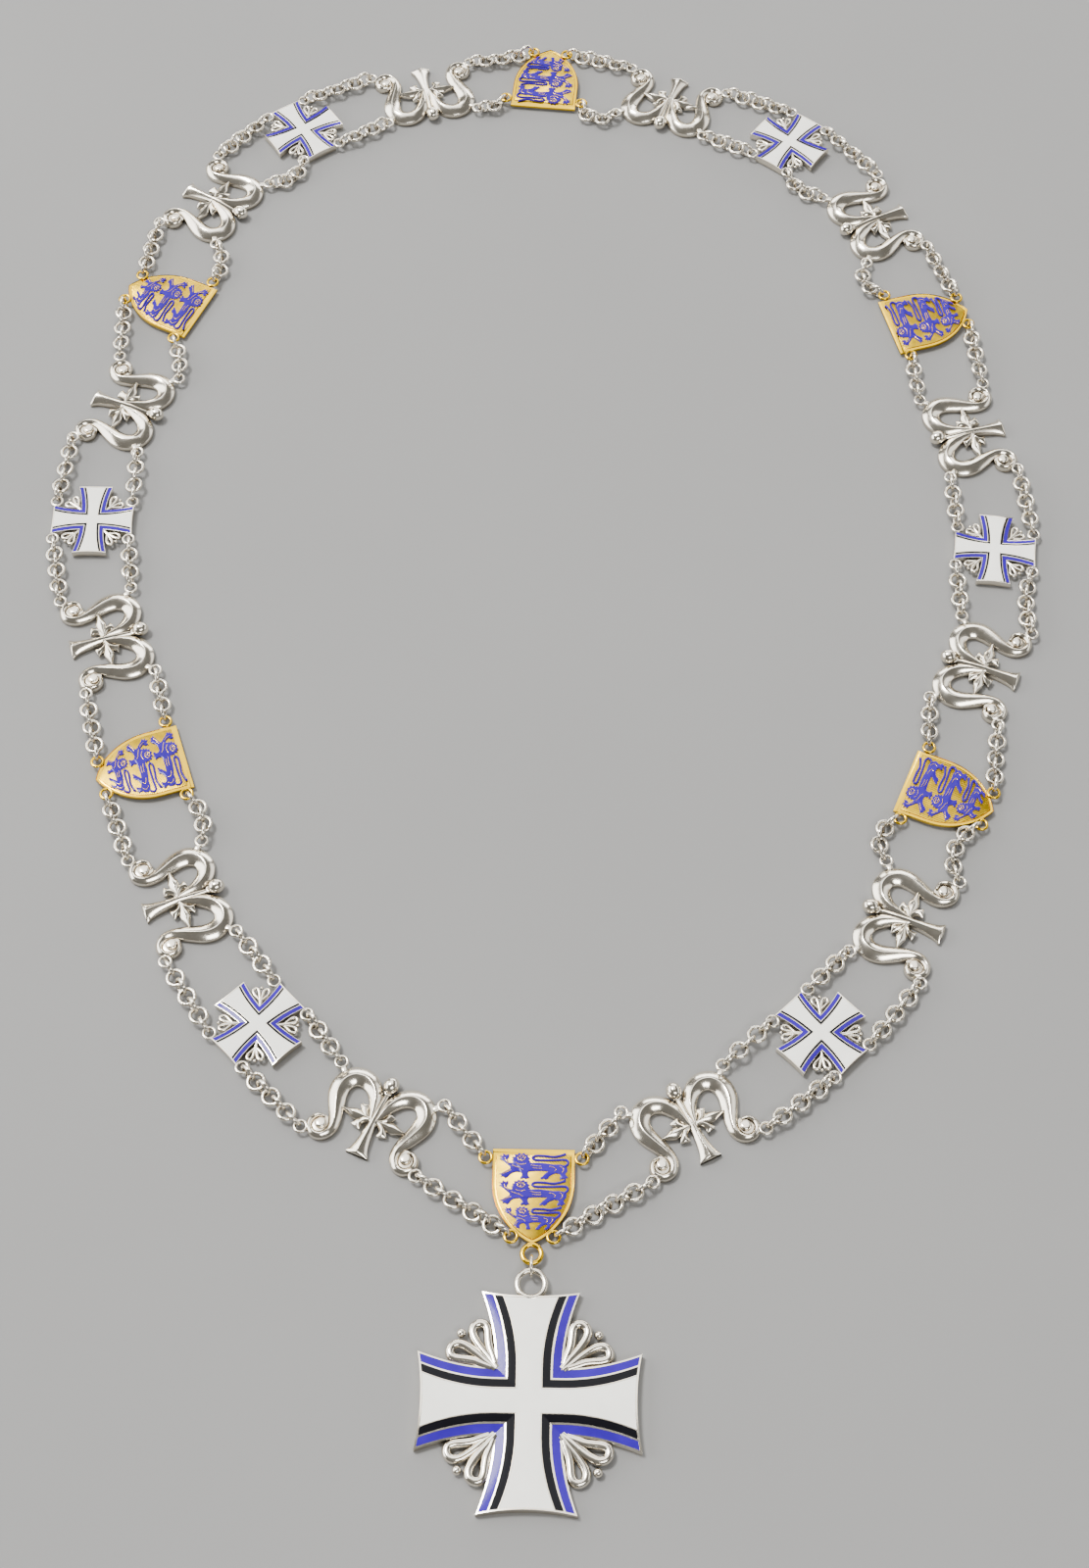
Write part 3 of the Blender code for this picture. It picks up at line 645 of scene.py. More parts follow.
def add_node(tree, kind, sockets, **choices):
    """Add a node, make its choices, and set or link its input sockets by name."""
    node = tree.nodes.new("ShaderNode" + kind)
    for name, choice in choices.items():
        setattr(node, name, choice)
    for name, value in sockets.items():
        if isinstance(value, bpy.types.NodeSocket):
            tree.links.new(value, node.inputs[name])
        else:
            node.inputs[name].default_value = value
    return node


def noise(tree, scale, detail=3.0):
    """Return a noise that reads the piece's own coordinates."""
    where = tree.nodes.get("where") or tree.nodes.new("ShaderNodeTexCoord")
    where.name = "where"
    sockets = {"Scale": scale, "Detail": detail, "Vector": where.outputs["Object"]}
    return add_node(tree, "TexNoise", sockets).outputs["Fac"]


def spread(tree, source, low=0.0, high=1.0, start=0.35, end=0.65):
    """Return a value that runs from low to high while the source runs from start to end."""
    sockets = {"Value": source, "From Min": start, "From Max": end, "To Min": low, "To Max": high}
    return add_node(tree, "MapRange", sockets).outputs["Result"]


def mix_colours(tree, share, first, second):
    """Return the blend by a share of two colours, either of which may be another node's."""
    pair = [tone if isinstance(tone, bpy.types.NodeSocket) else (*tone, 1.0) for tone in (first, second)]
    sockets = {"Factor": share, "A": pair[0], "B": pair[1]}
    return add_node(tree, "Mix", sockets, data_type="RGBA").outputs["Result"]


def add_bump(tree, shader, source, strength, distance):
    """Let a value press into the surface."""
    press = add_node(tree, "Bump", {"Strength": strength, "Distance": distance, "Height": source})
    tree.links.new(press.outputs["Normal"], shader.inputs["Normal"])


def metal(name, tint, roughness, hollow_shade):
    """Return a polished metal with soft wear and painted shade darkening its hollows and the places where
    parts touch.
    """
    finish, tree, shader = principled(name, 1.0, roughness)
    worn = [c * tone for c, tone in zip(tint, (0.93, 0.91, 0.88))]
    # Painted shade: ambient occlusion blends this darker tone into hollows and where parts touch, such as
    # between chain links.
    dark = [c * hollow_shade * tone for c, tone in zip(tint, (0.80, 0.72, 0.62))]
    lively = mix_colours(tree, spread(tree, noise(tree, 260.0)), tint, worn)
    hollow = add_node(tree, "AmbientOcclusion", {"Distance": 1.6 * MM}, samples=6)
    raised = spread(tree, hollow.outputs["AO"], start=0.30, end=0.92)
    tree.links.new(mix_colours(tree, raised, dark, lively), shader.inputs["Base Color"])
    rubbed = spread(tree, noise(tree, 900.0, 4.0), roughness * 0.92, roughness * 1.12)
    tree.links.new(rubbed, shader.inputs["Roughness"])
    add_bump(tree, shader, noise(tree, 420.0, 5.0), 0.10, 0.02 * MM)
    return finish


def enamel(name, tint, depth):
    """Return a fired enamel: smooth, glossy and a little uneven in tone."""
    finish, tree, shader = principled(name, 0.0, 0.09)
    tone = mix_colours(tree, spread(tree, noise(tree, 180.0, 2.0)), tint, [c * depth for c in tint])
    tree.links.new(tone, shader.inputs["Base Color"])
    add_bump(tree, shader, noise(tree, 140.0, 1.0), 0.25, 0.03 * MM)
    shader.inputs["Specular IOR Level"].default_value = 0.10
    return finish


def gilt_field(name, tint):
    """Return gilding with the fine engraved hatching of the shields' field."""
    finish, tree, shader = principled(name, 1.0, 0.30)
    where = add_node(tree, "UVMap", {}, uv_map="piece")
    sockets = {"Scale": 800.0, "Distortion": 0.4, "Vector": where.outputs["UV"]}
    lines = add_node(tree, "TexWave", sockets, wave_type="BANDS", bands_direction="DIAGONAL")
    light, dark = [c * 0.85 for c in tint], [c * 0.58 for c in tint]
    tone = mix_colours(tree, spread(tree, noise(tree, 300.0)), light, dark)
    tree.links.new(tone, shader.inputs["Base Color"])
    add_bump(tree, shader, lines.outputs["Fac"], 0.8, 0.06 * MM)
    return finish


def materials():
    """Return the finishes by name, made once."""
    tones = settings().collar_finishes
    if "collar_silver" not in bpy.data.materials:
        # The last number of each metal sets how dark its painted shade in hollows gets.
        metal("collar_silver", tones.silver, 0.17, 0.42)
        metal("collar_gilt", tones.gold, 0.16, 0.50)
        gilt_field("collar_field", tones.gold)
        enamel("collar_white", tones.white, 0.96)
        enamel("collar_blue", tones.blue, 0.80)
        enamel("collar_black", tones.black, 0.8)
    return bpy.data.materials


def map_plan(piece):
    """Store a piece's own plan as its UV map, so that a pattern follows the piece wherever it is turned."""
    layer = piece.data.uv_layers.get("piece") or piece.data.uv_layers.new(name="piece")
    for loop in piece.data.loops:
        spot = piece.data.vertices[loop.vertex_index].co
        layer.data[loop.index].uv = (spot.x, spot.y)


def lie_shift():
    """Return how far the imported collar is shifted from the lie's own origin."""
    low, high = (Vector(corner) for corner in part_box("cross_1"))
    sizes = settings().collar_plaques
    row = next(row for row in LIE if row[0] == "cross")
    return Vector(((low.x + high.x) / 2 - row[1] * sizes.lie_width,
                   (low.y + high.y) / 2 - row[2] * sizes.lie_length, 0.0))


def lie_place(row):
    """Return where a plaque of the lie stands on the table."""
    sizes = settings().collar_plaques
    spot = lie_shift() + Vector((row[1] * sizes.lie_width, row[2] * sizes.lie_length, 0.0))
    return Matrix.Translation(spot) @ Matrix.Rotation(math.radians(row[3]), 4, "Z")


def numbered():
    """Return each row of the lie with its number among the plaques of its kind."""
    counts = {"shield": 0, "scroll": 0, "cross": 0}
    made = []
    for row in LIE:
        counts[row[0]] += 1
        made.append((row, counts[row[0]]))
    return made


def places(kind):
    """Return the number and the place of each plaque of a kind."""
    return [(number, lie_place(row)) for row, number in numbered() if row[0] == kind]


def hand_over(piece, node):
    """Say which node a finished piece stands for and what it rides on."""
    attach(piece, BODY)
    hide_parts(node)


def eye(place):
    """Add one of the small rings soldered to the plaques."""
    sizes = settings().collar_plaques
    return ring("eye", (place[0], place[1], sizes.eye_height), sizes.eye_outer, sizes.eye_wire, 18, 8)


def both(places):
    """Return each place and its mirror across the plaque."""
    return [(side * x, y) for x, y in places for side in (1, -1)]


def scroll_eyes():
    """Return the places of an openwork link's rings, inner ones first."""
    return {"inner": (SHOULDER_EYE[0] * MM, SHOULDER_EYE[1] * MM),
            "outer": (VOLUTE_EYE[0] * MM, VOLUTE_EYE[1] * MM)}


def shield_arc():
    """Return half the shield's width, the fall of its curved sides and their radius."""
    sizes = settings().collar_shield
    half = sizes.width / 2
    fall = sizes.length - sizes.straight
    return half, fall, (half ** 2 + fall ** 2) / (2 * half)


def shield_side(along, outside=0.0):
    """Return how far from the middle a line runs that keeps a distance outside the shield's side."""
    half, _, radius = shield_arc()
    below = max(0.0, along - settings().collar_shield.straight)
    return half - radius + math.sqrt((radius + outside) ** 2 - below ** 2)


def shield_eyes():
    """Return the places of a shield's rings, inner ones first."""
    across = settings().collar_shield.width / 2 + settings().collar_plaques.eye_outer / 2
    return {"inner": (across - SHIELD_EYE_LAP * MM, -SHIELD_EYE_ALONG * MM),
            "outer": (shield_side(POINT_EYE_ALONG * MM, POINT_EYE_OUT * MM), -POINT_EYE_ALONG * MM)}


def cross_eyes():
    """Return the places of a small cross's rings, inner ones first."""
    sizes = settings().collar_cross
    across = sizes.tip / 2 + settings().collar_plaques.eye_outer / 2 - CROSS_EYE_LAP * MM
    along = sizes.span / 2 - CROSS_EYE_IN * MM
    return {"inner": (across, along), "outer": (across, -along)}


def lug(name, root, tip, width):
    """Add the short bar that carries one of an openwork link's rings."""
    deselect()
    middle = (Vector(root) + Vector(tip)) / 2 * MM
    run = (Vector(tip) - Vector(root)) * MM
    bpy.ops.mesh.primitive_cube_add(size=1.0, location=(middle.x, middle.y, (LUG_BOTTOM + LUG_TOP) / 2 * MM),
                                    rotation=(0.0, 0.0, math.atan2(run.y, run.x)),
                                    scale=(run.length, width * MM, (LUG_TOP - LUG_BOTTOM) * MM))
    return smooth(bevel(settled(name), LUG_EDGE * MM, 3))


def volute_discs():
    """Add the floor that closes a volute and the round button on it."""
    x, y = VOLUTE_MIDDLE
    discs = []
    for radius, height, rounding in VOLUTE_DISCS:
        deselect()
        middle = (x * MM, y * MM, (height + DISC_BOTTOM) / 2 * MM)
        bpy.ops.mesh.primitive_cylinder_add(vertices=28, radius=radius * MM,
                                            depth=(height - DISC_BOTTOM) * MM, location=middle)
        discs.append(smooth(bevel(settled("disc"), rounding * MM, 4), 60.0))
    return discs


def cast_band(name, rows, edge, **shape):
    """Add a ridged band with its edges rounded as casting and polishing leave them."""
    return smooth(bevel(band(name, rows, **shape), edge * MM))


def openwork_pattern():
    """Make the openwork link once: stem, arches, volutes, fleurs-de-lis, ball and rings."""
    mirror, upside = (Matrix.Scale(-1, 4, axis) for axis in (Vector((1, 0, 0)), Vector((0, 1, 0))))
    arch = cast_band("arch", ARCH, CAST_EDGE)
    middle = cast_band("petal", MIDDLE_PETAL, PETAL_EDGE, bottom=PETAL_BOTTOM, steps=3)
    upper = cast_band("petal_up", SIDE_PETAL, PETAL_EDGE, bottom=PETAL_BOTTOM, steps=3)
    flip = Matrix.Translation((0.0, 2 * MIDDLE_PETAL[0][1] * MM, 0.0)) @ upside
    lower = copied(upper, "petal_down", flip)
    lugs = [lug("lug", *SHOULDER_LUG), lug("lug", *VOLUTE_LUG)]
    right = join("half", [arch, middle, upper, lower, *volute_discs(), *lugs])
    left = copied(right, "other_half", mirror)
    stem = cast_band("stem", STEM, CAST_EDGE, steps=3, foot_curve=0.5)
    knob = ball("knob", (0.0, BALL_ALONG * MM, BALL_HEIGHT * MM), BALL_WIDTH * MM, 28, 16)
    knob.data.transform(Matrix.Translation((0.0, BALL_ALONG * (1 - BALL_STRETCH) * MM, 0.0))
                        @ Matrix.Scale(BALL_STRETCH, 4, Vector((0, 1, 0))))
    along, height, width, thick = BALL_RING
    collar = ring("collar", (0.0, along * MM, height * MM), width * MM, thick * MM)
    eyes = [eye(place) for place in both(scroll_eyes().values())]
    return join("openwork", [right, left, stem, knob, collar, *eyes])


def shield_outline():
    """Return the shield's outline, from the right end of its straight edge down to the point and back."""
    sizes = settings().collar_shield
    _, fall, radius = shield_arc()
    steps = [0.0, sizes.straight / 2]
    steps += [sizes.straight + radius * math.sin(math.asin(fall / radius) * i / SHIELD_ARC_STEPS)
              for i in range(SHIELD_ARC_STEPS)]
    right = [(shield_side(along), -along) for along in steps]
    return right + [(0.0, -sizes.length)] + [(-x, y) for x, y in reversed(right)]


def shield_pattern():
    """Make the gilt shield once: back, polished rim, bevelled straight edge, sunk field and rings."""
    sizes = settings().collar_shield
    tones = materials()
    plate = outline_face("shield", shield_outline(), sizes.bottom)
    paint(plate, tones["collar_gilt"], tones["collar_field"])
    raise_face(plate, sizes.thick - sizes.field_depth)
    bpy.ops.mesh.inset(thickness=RIM_SLOPE * MM, depth=sizes.field_depth)
    bpy.ops.mesh.inset(thickness=sizes.rim, depth=0.0)
    bpy.ops.mesh.inset(thickness=FIELD_SLOPE * MM, depth=-sizes.field_depth)
    plate.active_material_index = 1
    bpy.ops.object.material_slot_assign()
    bpy.ops.object.mode_set(mode="OBJECT")
    upper = [point for point in plate.data.vertices if point.co.z > sizes.bottom + 2 * HAIR * MM]
    for point in upper:
        if point.co.y > -HAIR * MM:
            point.co.z -= MOULDING_FALL * MM
        elif point.co.y > -MOULDING_ZONE * MM:
            point.co.y -= sizes.moulding
    smooth(bevel(tidy(plate), FINE_EDGE * MM, 2, 50.0))
    eyes = [paint(eye(place), tones["collar_gilt"]) for place in both(shield_eyes().values())]
    made = join("shield_pattern", [plate, *eyes])
    map_plan(made)
    return made


def lion_spot(point, middle, height):
    """Return where a point of the lion falls in the shield, between the shield's sides."""
    along = middle * MM + point[1] * height / 2 * MM
    room = min(LION_REACH * MM, shield_side(-along) - LION_MARGIN * MM)
    return point[0] * room, along


def lion_pattern():
    """Make the three enamelled lions of a shield once, with their gold lines."""
    sizes = settings().collar_shield
    blue, gilt = materials()["collar_blue"], materials()["collar_gilt"]
    top = sizes.bottom + sizes.thick
    foot = top - sizes.field_depth - BODY_SINK * MM
    parts = []
    for middle, height in LION_ROWS:
        body = outline_face("lion", [lion_spot(point, middle, height) for point in LION], foot)
        raise_face(body, top - foot)
        bpy.ops.object.mode_set(mode="OBJECT")
        parts.append(paint(smooth(bevel(tidy(body), FINE_EDGE * MM, 2, 60.0)), blue))
        tail = [(*lion_spot(point, middle, height), top - TAIL_SINK * MM) for point in LION_TAIL]
        parts.append(paint(wire("tail", tail, TAIL_WIDTH * MM, 4, 2), blue))
        tuft = (*tail[-1][:2], top - TUFT_SINK * MM)
        parts.append(paint(ball("tuft", tuft, TUFT_WIDTH * MM, 12, 6, TUFT_SQUASH), blue))
        for line in LION_LINES:
            trace = [(*lion_spot(point, middle, height), top) for point in line]
            parts.append(paint(wire("line", trace, LINE_WIDTH * MM, 3, 1), gilt))
    return join("lions", parts)


def side_line(sizes, side_sag, x):
    """Return how far from its axis the side of the right arm runs, x from the cross's middle."""
    run = (sizes.span - sizes.root) / 2
    t = (x - sizes.root / 2) / run
    bow = 4 * t * (1 - t) if t > 0 else 4 * t
    return sizes.root / 2 + (sizes.tip - sizes.root) / 2 * t - run * side_sag * bow


def mitre(sizes, side_sag, distance):
    """Return where a line at a distance inside the arm's side meets the line between two arms."""
    spread_out = math.hypot(1.0, (sizes.tip - sizes.root) / (sizes.span - sizes.root))
    x = sizes.root / 2
    for _ in range(12):
        x = side_line(sizes, side_sag, x) - distance * spread_out
    return x, spread_out


def band_rows(bands, drop, edge):
    """Return the lines along an arm: distance from its side, height against the face, finish before it."""
    rows = [(0.0, -edge, SILVER), (edge, 0.0, SILVER)]
    at = 0.0
    for width, kind in bands:
        if kind != SILVER:
            rows.append((at + drop, -drop, SILVER))
            rows += [(at + inside, -drop, kind) for inside in (width * 0.3, width * 0.7, width - drop)]
        rows.append((at + width, 0.0, SILVER))
        at += width
    rows.append((at + drop, -drop, SILVER))
    return rows


def cross_plate(name, sizes, bottom, bands, relief):
    """Add a cross whose face is enamelled in bands that run along the sides of its arms.

    bands holds each band's width and finish, and what is left between them is white. The enamel lies a
    drop below the metal, and the face rises by a dome towards the arms' axes.
    """
    rim, drop, dome = (size * MM for size in relief[:3])
    side_sag, end_sag = relief[3:]
    edge = drop * 1.2
    top = bottom + sizes.thick - dome
    rows = band_rows([(width * MM, kind) for width, kind in bands], drop, edge)
    inner = rows[-1][0]
    shares = [0.25, 0.5, 0.75, 1.0]
    steps = [(1 - math.cos(math.pi * i / ARM_STEPS)) / 2 for i in range(ARM_STEPS + 1)]
    ends = [(rim + drop, None), (rim, 0.0), (edge, 0.0), (0.0, -edge), (0.0, None)]
    columns = len(steps) + len(ends) - 1
    total = 1 + len(rows) + len(shares)

    def spot(column, row):
        share = 0.0
        distance = inner
        if row <= len(rows):
            distance = rows[max(0, row - 1)][0]
        else:
            share = shares[row - len(rows) - 1]
        lead, spread_out = mitre(sizes, side_sag, distance)
        start = lead * (1 - share)
        end = sizes.span / 2 - ends[max(0, column - len(steps) + 1)][0]
        along = steps[min(column, len(steps) - 1)]
        x = start + (end - start) * along
        outer = lead + (end - lead) * along
        y = (side_line(sizes, side_sag, outer) - distance * spread_out) * (1 - share)
        if column == 0:
            y = x
        x -= sizes.tip * end_sag * (1 - min(1.0, (2 * y / sizes.tip) ** 2)) * along ** 2
        return x, y

    def place(column, row):
        x, y = spot(column, row)
        side = side_line(sizes, side_sag, x)
        share = max(0.0, min(1.0, 1 - y / side))
        height = top + dome * (1 - (1 - share) ** 2)
        if row == 0 or column == columns - 1:
            height = bottom
        elif column >= len(steps):
            press = ends[column - len(steps) + 1][1]
            height += min(press, rows[row - 1][1] if row <= 2 else 0.0)
        elif row <= len(rows):
            height += rows[row - 1][1]
        else:
            height -= drop
        return x, y, height

    sheet, cells = grid_sheet(name, columns, total, place)
    paint(sheet, *(materials()[finish] for finish in CROSS_FINISHES))
    kinds = [SILVER] + [row[2] for row in rows] + [WHITE] * len(shares)
    for face in sheet.data.polygons:
        column = min(cells[index][0] for index in face.vertices)
        row = max(cells[index][1] for index in face.vertices)
        face.material_index = SILVER if column >= len(steps) - 1 else kinds[row]
    other = copied(sheet, name, Matrix.Scale(-1, 4, Vector((0, 1, 0))))
    arms = around(join(name, [sheet, other]))
    return smooth(tidy(join(name, arms), cap=True), 25.0)


def knot(sizes, turns, middle):
    """Add the looped cord knot in a cross's first angle, with its bead."""
    bisector, across = Vector((1, 1)).normalized(), Vector((-1, 1)).normalized()
    corner = Vector((sizes.root / 2, sizes.root / 2))
    parts = []
    for side in (1, -1):
        line = []
        for i, (out, off) in enumerate(turns):
            spot = corner + bisector * out * sizes.knot + across * side * off * sizes.knot
            over = math.sin(math.pi * i / (len(turns) - 1)) * side * sizes.cord * CORD_RISE
            line.append((spot.x, spot.y, middle + over))
        parts.append(wire("cord", line, sizes.cord, 4, 4))
    spot = corner + bisector * BEAD_OUT * sizes.knot
    parts.append(ball("bead", (spot.x, spot.y, middle), sizes.cord, 14, 8))
    return paint(join("knot", parts), materials()["collar_silver"])


def around(piece):
    """Copy a piece into the other three quarters of a cross and return all four."""
    turns = [Matrix.Rotation(quarter * math.pi / 2, 4, "Z") for quarter in (1, 2, 3)]
    return [piece, *(copied(piece, piece.name, turn) for turn in turns)]


def link_pattern():
    """Make one round link with the slight swelling of its soldered joint."""
    sizes = settings().collar_chains
    link = ring("link", (0.0, 0.0, 0.0), sizes.link_outer, sizes.link_wire, sizes.sides, sizes.wire_sides)
    centre = (sizes.link_outer - sizes.link_wire) / 2
    for point in link.data.vertices:
        flat = Vector((point.co.x, point.co.y, 0.0))
        middle = flat.normalized() * centre
        turn = math.atan2(flat.y, flat.x) - math.pi / 2
        swelling = JOINT_SWELLING * math.exp(-(turn / JOINT_ANGLE) ** 2)
        point.co = middle + (point.co - middle) * (1 + swelling)
    return paint(link, materials()["collar_silver"])


def hook_reach():
    """Return how far from the middle of a plaque's ring the hooked link's middle lies."""
    rings, sizes = settings().collar_plaques, settings().collar_chains
    room = (sizes.link_outer - rings.eye_wire) / 2 - sizes.link_wire
    rise = rings.eye_height - sizes.link_outer / 2
    return (rings.eye_outer - rings.eye_wire) / 2 + math.sqrt(room ** 2 - rise ** 2)


def half_turn(chord, length):
    """Return half the angle that a strand of that length turns through between its ends."""
    if chord / length > 0.9995:
        return 0.0
    low, high = 0.0, math.pi
    for _ in range(40):
        middle = (low + high) / 2
        if math.sin(middle) / middle > chord / length:
            low = middle
        else:
            high = middle
    return (low + high) / 2


def strand_spots(start, end, links, inward):
    """Return the middle and the direction of each link of a strand from ring to ring."""
    reach = hook_reach()
    chord = (end - start).length
    along = (end - start).normalized()
    length = max(chord, 2 * reach + (links - 1) * settings().collar_chains.slack_pitch)
    pitch = (length - 2 * reach) / (links - 1)
    half = half_turn(chord, length)
    side = Vector((-along.y, along.x))
    if side.dot(inward) < 0:
        side = -side
    spots = []
    for i in range(links):
        distance = reach + i * pitch
        if half == 0.0:
            spots.append((start + along * distance, along))
            continue
        radius = length / (2 * half)
        turn = half * (2 * distance / length - 1)
        spot = (start + end) / 2 + along * radius * math.sin(turn) + side * radius * (
            math.cos(turn) - math.cos(half))
        spots.append((spot, along * math.cos(turn) - side * math.sin(turn)))
    return spots, pitch


def strand(link, start, end, links, inward, seed):
    """Copy links along a strand, the first one standing on edge, the next one lying, and so on."""
    sizes = settings().collar_chains
    spots, pitch = strand_spots(start, end, links, inward)
    stand = sizes.link_outer / 2
    room = stand - sizes.link_wire - sizes.link_wire / 2
    slip = pitch - (sizes.link_outer - sizes.link_wire) / 2
    droop = DROOP * math.sqrt(max(0.0, room ** 2 - slip ** 2))
    made = []
    for i, (spot, along) in enumerate(spots):
        lean = sizes.lean * math.sin(LEAN_STEP * i + LEAN_SHIFT * seed)
        heading = Matrix.Rotation(math.atan2(along.y, along.x), 4, "Z")
        if i % 2 == 0:
            rise = (stand - sizes.link_wire / 2) * math.cos(lean) + sizes.link_wire / 2
            pose = Matrix.Rotation(math.pi / 2 + lean, 4, "X")
        else:
            rise = stand - droop
            pose = Matrix.Rotation(lean * LYING_LEAN, 4, "X")
        place = Matrix.Translation((spot.x, spot.y, rise)) @ heading @ pose
        made.append(copied(link, "link", place))
    return made


def strand_ends(index, step, line):
    """Return where a strand from an openwork link starts and ends, and how many links it has."""
    row = LIE[index]
    other = LIE[(index + step) % len(LIE)]
    near = scroll_eyes()[line]
    far = {"shield": shield_eyes, "cross": cross_eyes}[other[0]]()[line]
    counts = row if step == 1 else other
    start = lie_place(row) @ Vector((-step * near[0], near[1], 0.0))
    end = lie_place(other) @ Vector((step * far[0], far[1], 0.0))
    return start.to_2d(), end.to_2d(), counts[4] if line == "inner" else counts[5]


def drop_place():
    """Return where the lowest shield stands, from which the pendant hangs."""
    return lie_place(LIE[0])


def aim(spot, target):
    """Return the rotation that turns a light or camera from a spot towards a target."""
    return (Vector(target) - Vector(spot)).to_track_quat("-Z", "Y").to_euler()


def softbox(name, spot, width, depth, power):
    """Add a soft light that shines at the middle of the collar."""
    deselect()
    bpy.ops.object.light_add(type="AREA", location=spot, rotation=aim(spot, (0.0, 0.0, 0.0)))
    lamp = bpy.context.object
    lamp.name = name
    lamp.data.shape = "RECTANGLE"
    lamp.data.size = width
    lamp.data.size_y = depth
    lamp.data.energy = power


class COLLAR_OT_openwork(bpy.types.Operator):
    """Add the twelve openwork silver links"""

    bl_idname = "collar.openwork"
    bl_label = "Openwork Links"

    def execute(self, context):
        pattern = paint(openwork_pattern(), materials()["collar_silver"])
        for number, place in places("scroll"):
            piece = copied(pattern, f"openwork_{number}", place)
            hand_over(piece, f"scroll_{number}")
        remove(pattern)
        return {"FINISHED"}


class COLLAR_OT_chains(bpy.types.Operator):
    """Add the strands of round links between the plaques"""

    bl_idname = "collar.chains"
    bl_label = "Chains"

    def execute(self, context):
        link = link_pattern()
        middle = lie_shift() + Vector((0.0, settings().collar_plaques.lie_length / 2, 0.0))
        for index, (row, number) in enumerate(numbered()):
            if row[0] != "scroll":
                continue
            links = []
            for step in (1, -1):
                for line in ("inner", "outer"):
                    start, end, count = strand_ends(index, step, line)
                    inward = middle.to_2d() - start
                    links += strand(link, start, end, count, inward, index + 0.5 * step + len(line))
            piece = join(f"chain_{number}", links)
            hand_over(piece, f"scroll_{number}")
        remove(link)
        return {"FINISHED"}


class COLLAR_OT_shields(bpy.types.Operator):
    """Add the six gilt shields with their lions"""

    bl_idname = "collar.shields"
    bl_label = "Shields"

    def execute(self, context):
        shield, lions = shield_pattern(), lion_pattern()
        sizes = settings().collar_pendant
        for number, place in places("shield"):
            piece = copied(shield, f"shield_plaque_{number}", place)
            if number == 1:
                spot = drop_place() @ Vector((0.0, TIP_RING_ALONG * MM, sizes.height))
                tip = ring("tip_ring", spot, sizes.tip_ring_outer, sizes.tip_ring_wire, 32, 12)
                piece = join(piece.name, [piece, paint(tip, materials()["collar_gilt"])])
            hand_over(piece, f"shield_{number}")
            figures = copied(lions, f"shield_lions_{number}", place)
            hand_over(figures, f"shield_{number}")
        remove(shield, lions)
        return {"FINISHED"}


class COLLAR_OT_crosses(bpy.types.Operator):
    """Add the six small enamelled crosses"""

    bl_idname = "collar.crosses"
    bl_label = "Crosses"

    def execute(self, context):
        sizes = settings().collar_cross
        silver = materials()["collar_silver"]
        plate = cross_plate("cross_pattern", sizes, sizes.bottom, SMALL_BANDS, SMALL_RELIEF)
        knots = around(knot(sizes, SMALL_KNOT, SMALL_KNOT_HEIGHT * MM))
        eyes = [paint(eye(place), silver) for place in both(cross_eyes().values())]
        pattern = join("cross_pattern", [plate, *knots, *eyes])
        for number, place in places("cross"):
            piece = copied(pattern, f"cross_plaque_{number}", place)
            hand_over(piece, f"cross_{number}")
        remove(pattern)
        return {"FINISHED"}


class COLLAR_OT_drop_ring(bpy.types.Operator):
    """Add the jump ring between the lowest shield and the pendant"""

    bl_idname = "collar.drop_ring"
    bl_label = "Jump Ring"

    def execute(self, context):
        sizes = settings().collar_pendant
        made = ring("drop_ring", (0.0, 0.0, 0.0), sizes.jump_outer, sizes.jump_wire, 40, 10, upright=True)
        paint(made, materials()["collar_silver"])
        spot = (0.0, JUMP_RING_ALONG * MM, sizes.jump_outer / 2)
        made.data.transform(drop_place() @ Matrix.Translation(spot))
        hand_over(made, "jump_ring")
        return {"FINISHED"}


class COLLAR_OT_pendant(bpy.types.Operator):
    """Add the large cross pendant"""

    bl_idname = "collar.pendant"
    bl_label = "Pendant"

    def execute(self, context):
        sizes = settings().collar_pendant
        plate = cross_plate("pendant", sizes, 0.0, LARGE_BANDS, LARGE_RELIEF)
        knots = around(knot(sizes, LARGE_KNOT, LARGE_KNOT_HEIGHT * MM))
        spot = (0.0, PENDANT_RING_ALONG * MM, sizes.height)
        top = ring("pendant_ring", spot, sizes.ring_outer, sizes.ring_wire, 40, 12)
        piece = join("pendant", [plate, *knots, paint(top, materials()["collar_silver"])])
        piece.data.transform(drop_place() @ Matrix.Translation((0.0, PENDANT_ALONG * MM, 0.0)))
        hand_over(piece, "pendant_cross")
        return {"FINISHED"}


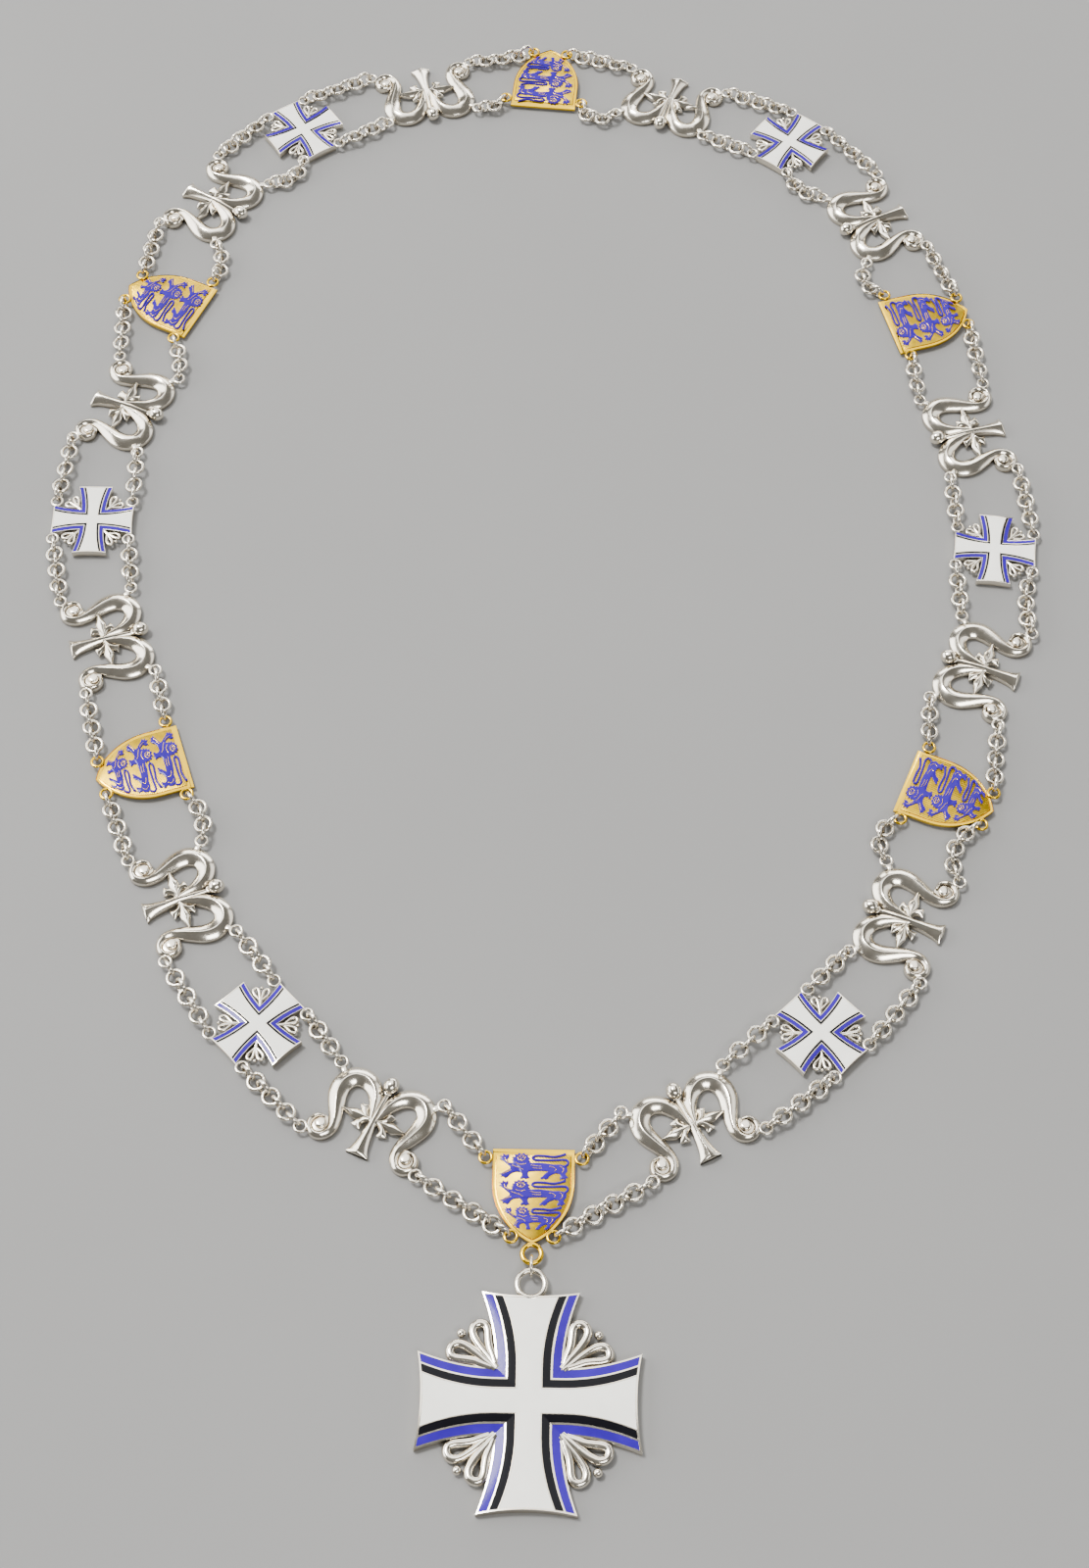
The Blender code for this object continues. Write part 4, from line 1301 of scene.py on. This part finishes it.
class COLLAR_OT_stage(bpy.types.Operator):
    """Add the floor, the camera and the studio light"""

    bl_idname = "collar.stage"
    bl_label = "Stage"

    def execute(self, context):
        sizes = settings().collar_stage
        deselect()
        bpy.ops.mesh.primitive_plane_add(size=FLOOR_SIZE, location=(0.0, 0.0, -FLOOR_DROP * MM))
        floor = bpy.context.object
        floor.name = "floor"
        finish, tree, shader = principled("collar_floor", 0.0, 0.75)
        darker = [c * 0.97 for c in sizes.floor]
        tone = mix_colours(tree, spread(tree, noise(tree, 9.0, 5.0)), sizes.floor, darker)
        tree.links.new(tone, shader.inputs["Base Color"])
        paint(floor, finish)
        target = Vector(CAMERA_TARGET) * MM
        back = Vector((0.0, -math.cos(sizes.elevation), math.sin(sizes.elevation))) * sizes.distance
        bpy.ops.object.camera_add(location=target + back, rotation=aim(target + back, target))
        camera = bpy.context.object
        camera.data.lens = sizes.lens
        camera.data.sensor_width = SENSOR_WIDTH
        camera.data.clip_start = 0.01
        context.scene.camera = camera
        for row in SOFTBOXES:
            softbox(*row)
        bpy.ops.object.light_add(type="SUN", rotation=aim(KEY_SPOT, (0.0, 0.0, 0.0)))
        context.object.name = "key_light"
        context.object.data.energy = KEY_STRENGTH
        context.object.data.angle = math.radians(KEY_ANGLE)
        world = context.scene.world or bpy.data.worlds.new("studio")
        context.scene.world = world
        world.use_nodes = True
        air = world.node_tree.nodes["Background"]
        air.inputs["Color"].default_value = AIR_COLOUR
        air.inputs["Strength"].default_value = AIR_STRENGTH
        return {"FINISHED"}


GROUPS = {
    "collar_plaques": PlaqueSizes,
    "collar_chains": ChainSizes,
    "collar_shield": ShieldSizes,
    "collar_cross": CrossSizes,
    "collar_pendant": PendantSizes,
    "collar_finishes": Finishes,
    "collar_stage": StageSettings,
}
OPERATORS = (COLLAR_OT_openwork, COLLAR_OT_chains, COLLAR_OT_shields, COLLAR_OT_crosses, COLLAR_OT_drop_ring,
             COLLAR_OT_pendant, COLLAR_OT_stage)


class COLLAR_PT_panel(bpy.types.Panel):
    """Buttons for the pieces and fields for their sizes"""

    bl_idname = "COLLAR_PT_panel"
    bl_label = "Order Collar"
    bl_space_type = "VIEW_3D"
    bl_region_type = "UI"
    bl_category = "Collar"

    def draw(self, context):
        for operator in OPERATORS:
            self.layout.operator(operator.bl_idname)
        for name, group in GROUPS.items():
            box = self.layout.box()
            box.label(text=group.__name__)
            for field in group.__annotations__:
                box.prop(getattr(context.scene, name), field)


def register():
    """Make the groups, operators and panel known to Blender."""
    for group in GROUPS.values():
        bpy.utils.register_class(group)
    for name, group in GROUPS.items():
        setattr(bpy.types.Scene, name, PointerProperty(type=group))
    for operator in OPERATORS:
        bpy.utils.register_class(operator)
    bpy.utils.register_class(COLLAR_PT_panel)


def unregister():
    """Take the panel, operators and groups out of Blender again."""
    bpy.utils.unregister_class(COLLAR_PT_panel)
    for operator in reversed(OPERATORS):
        bpy.utils.unregister_class(operator)
    for name, group in reversed(GROUPS.items()):
        delattr(bpy.types.Scene, name)
        bpy.utils.unregister_class(group)


def main():
    """Build every piece and the stage."""
    register()
    bpy.ops.collar.openwork()
    bpy.ops.collar.chains()
    bpy.ops.collar.shields()
    bpy.ops.collar.crosses()
    bpy.ops.collar.drop_ring()
    bpy.ops.collar.pendant()
    bpy.ops.collar.stage()


if __name__ == "__main__":
    main()
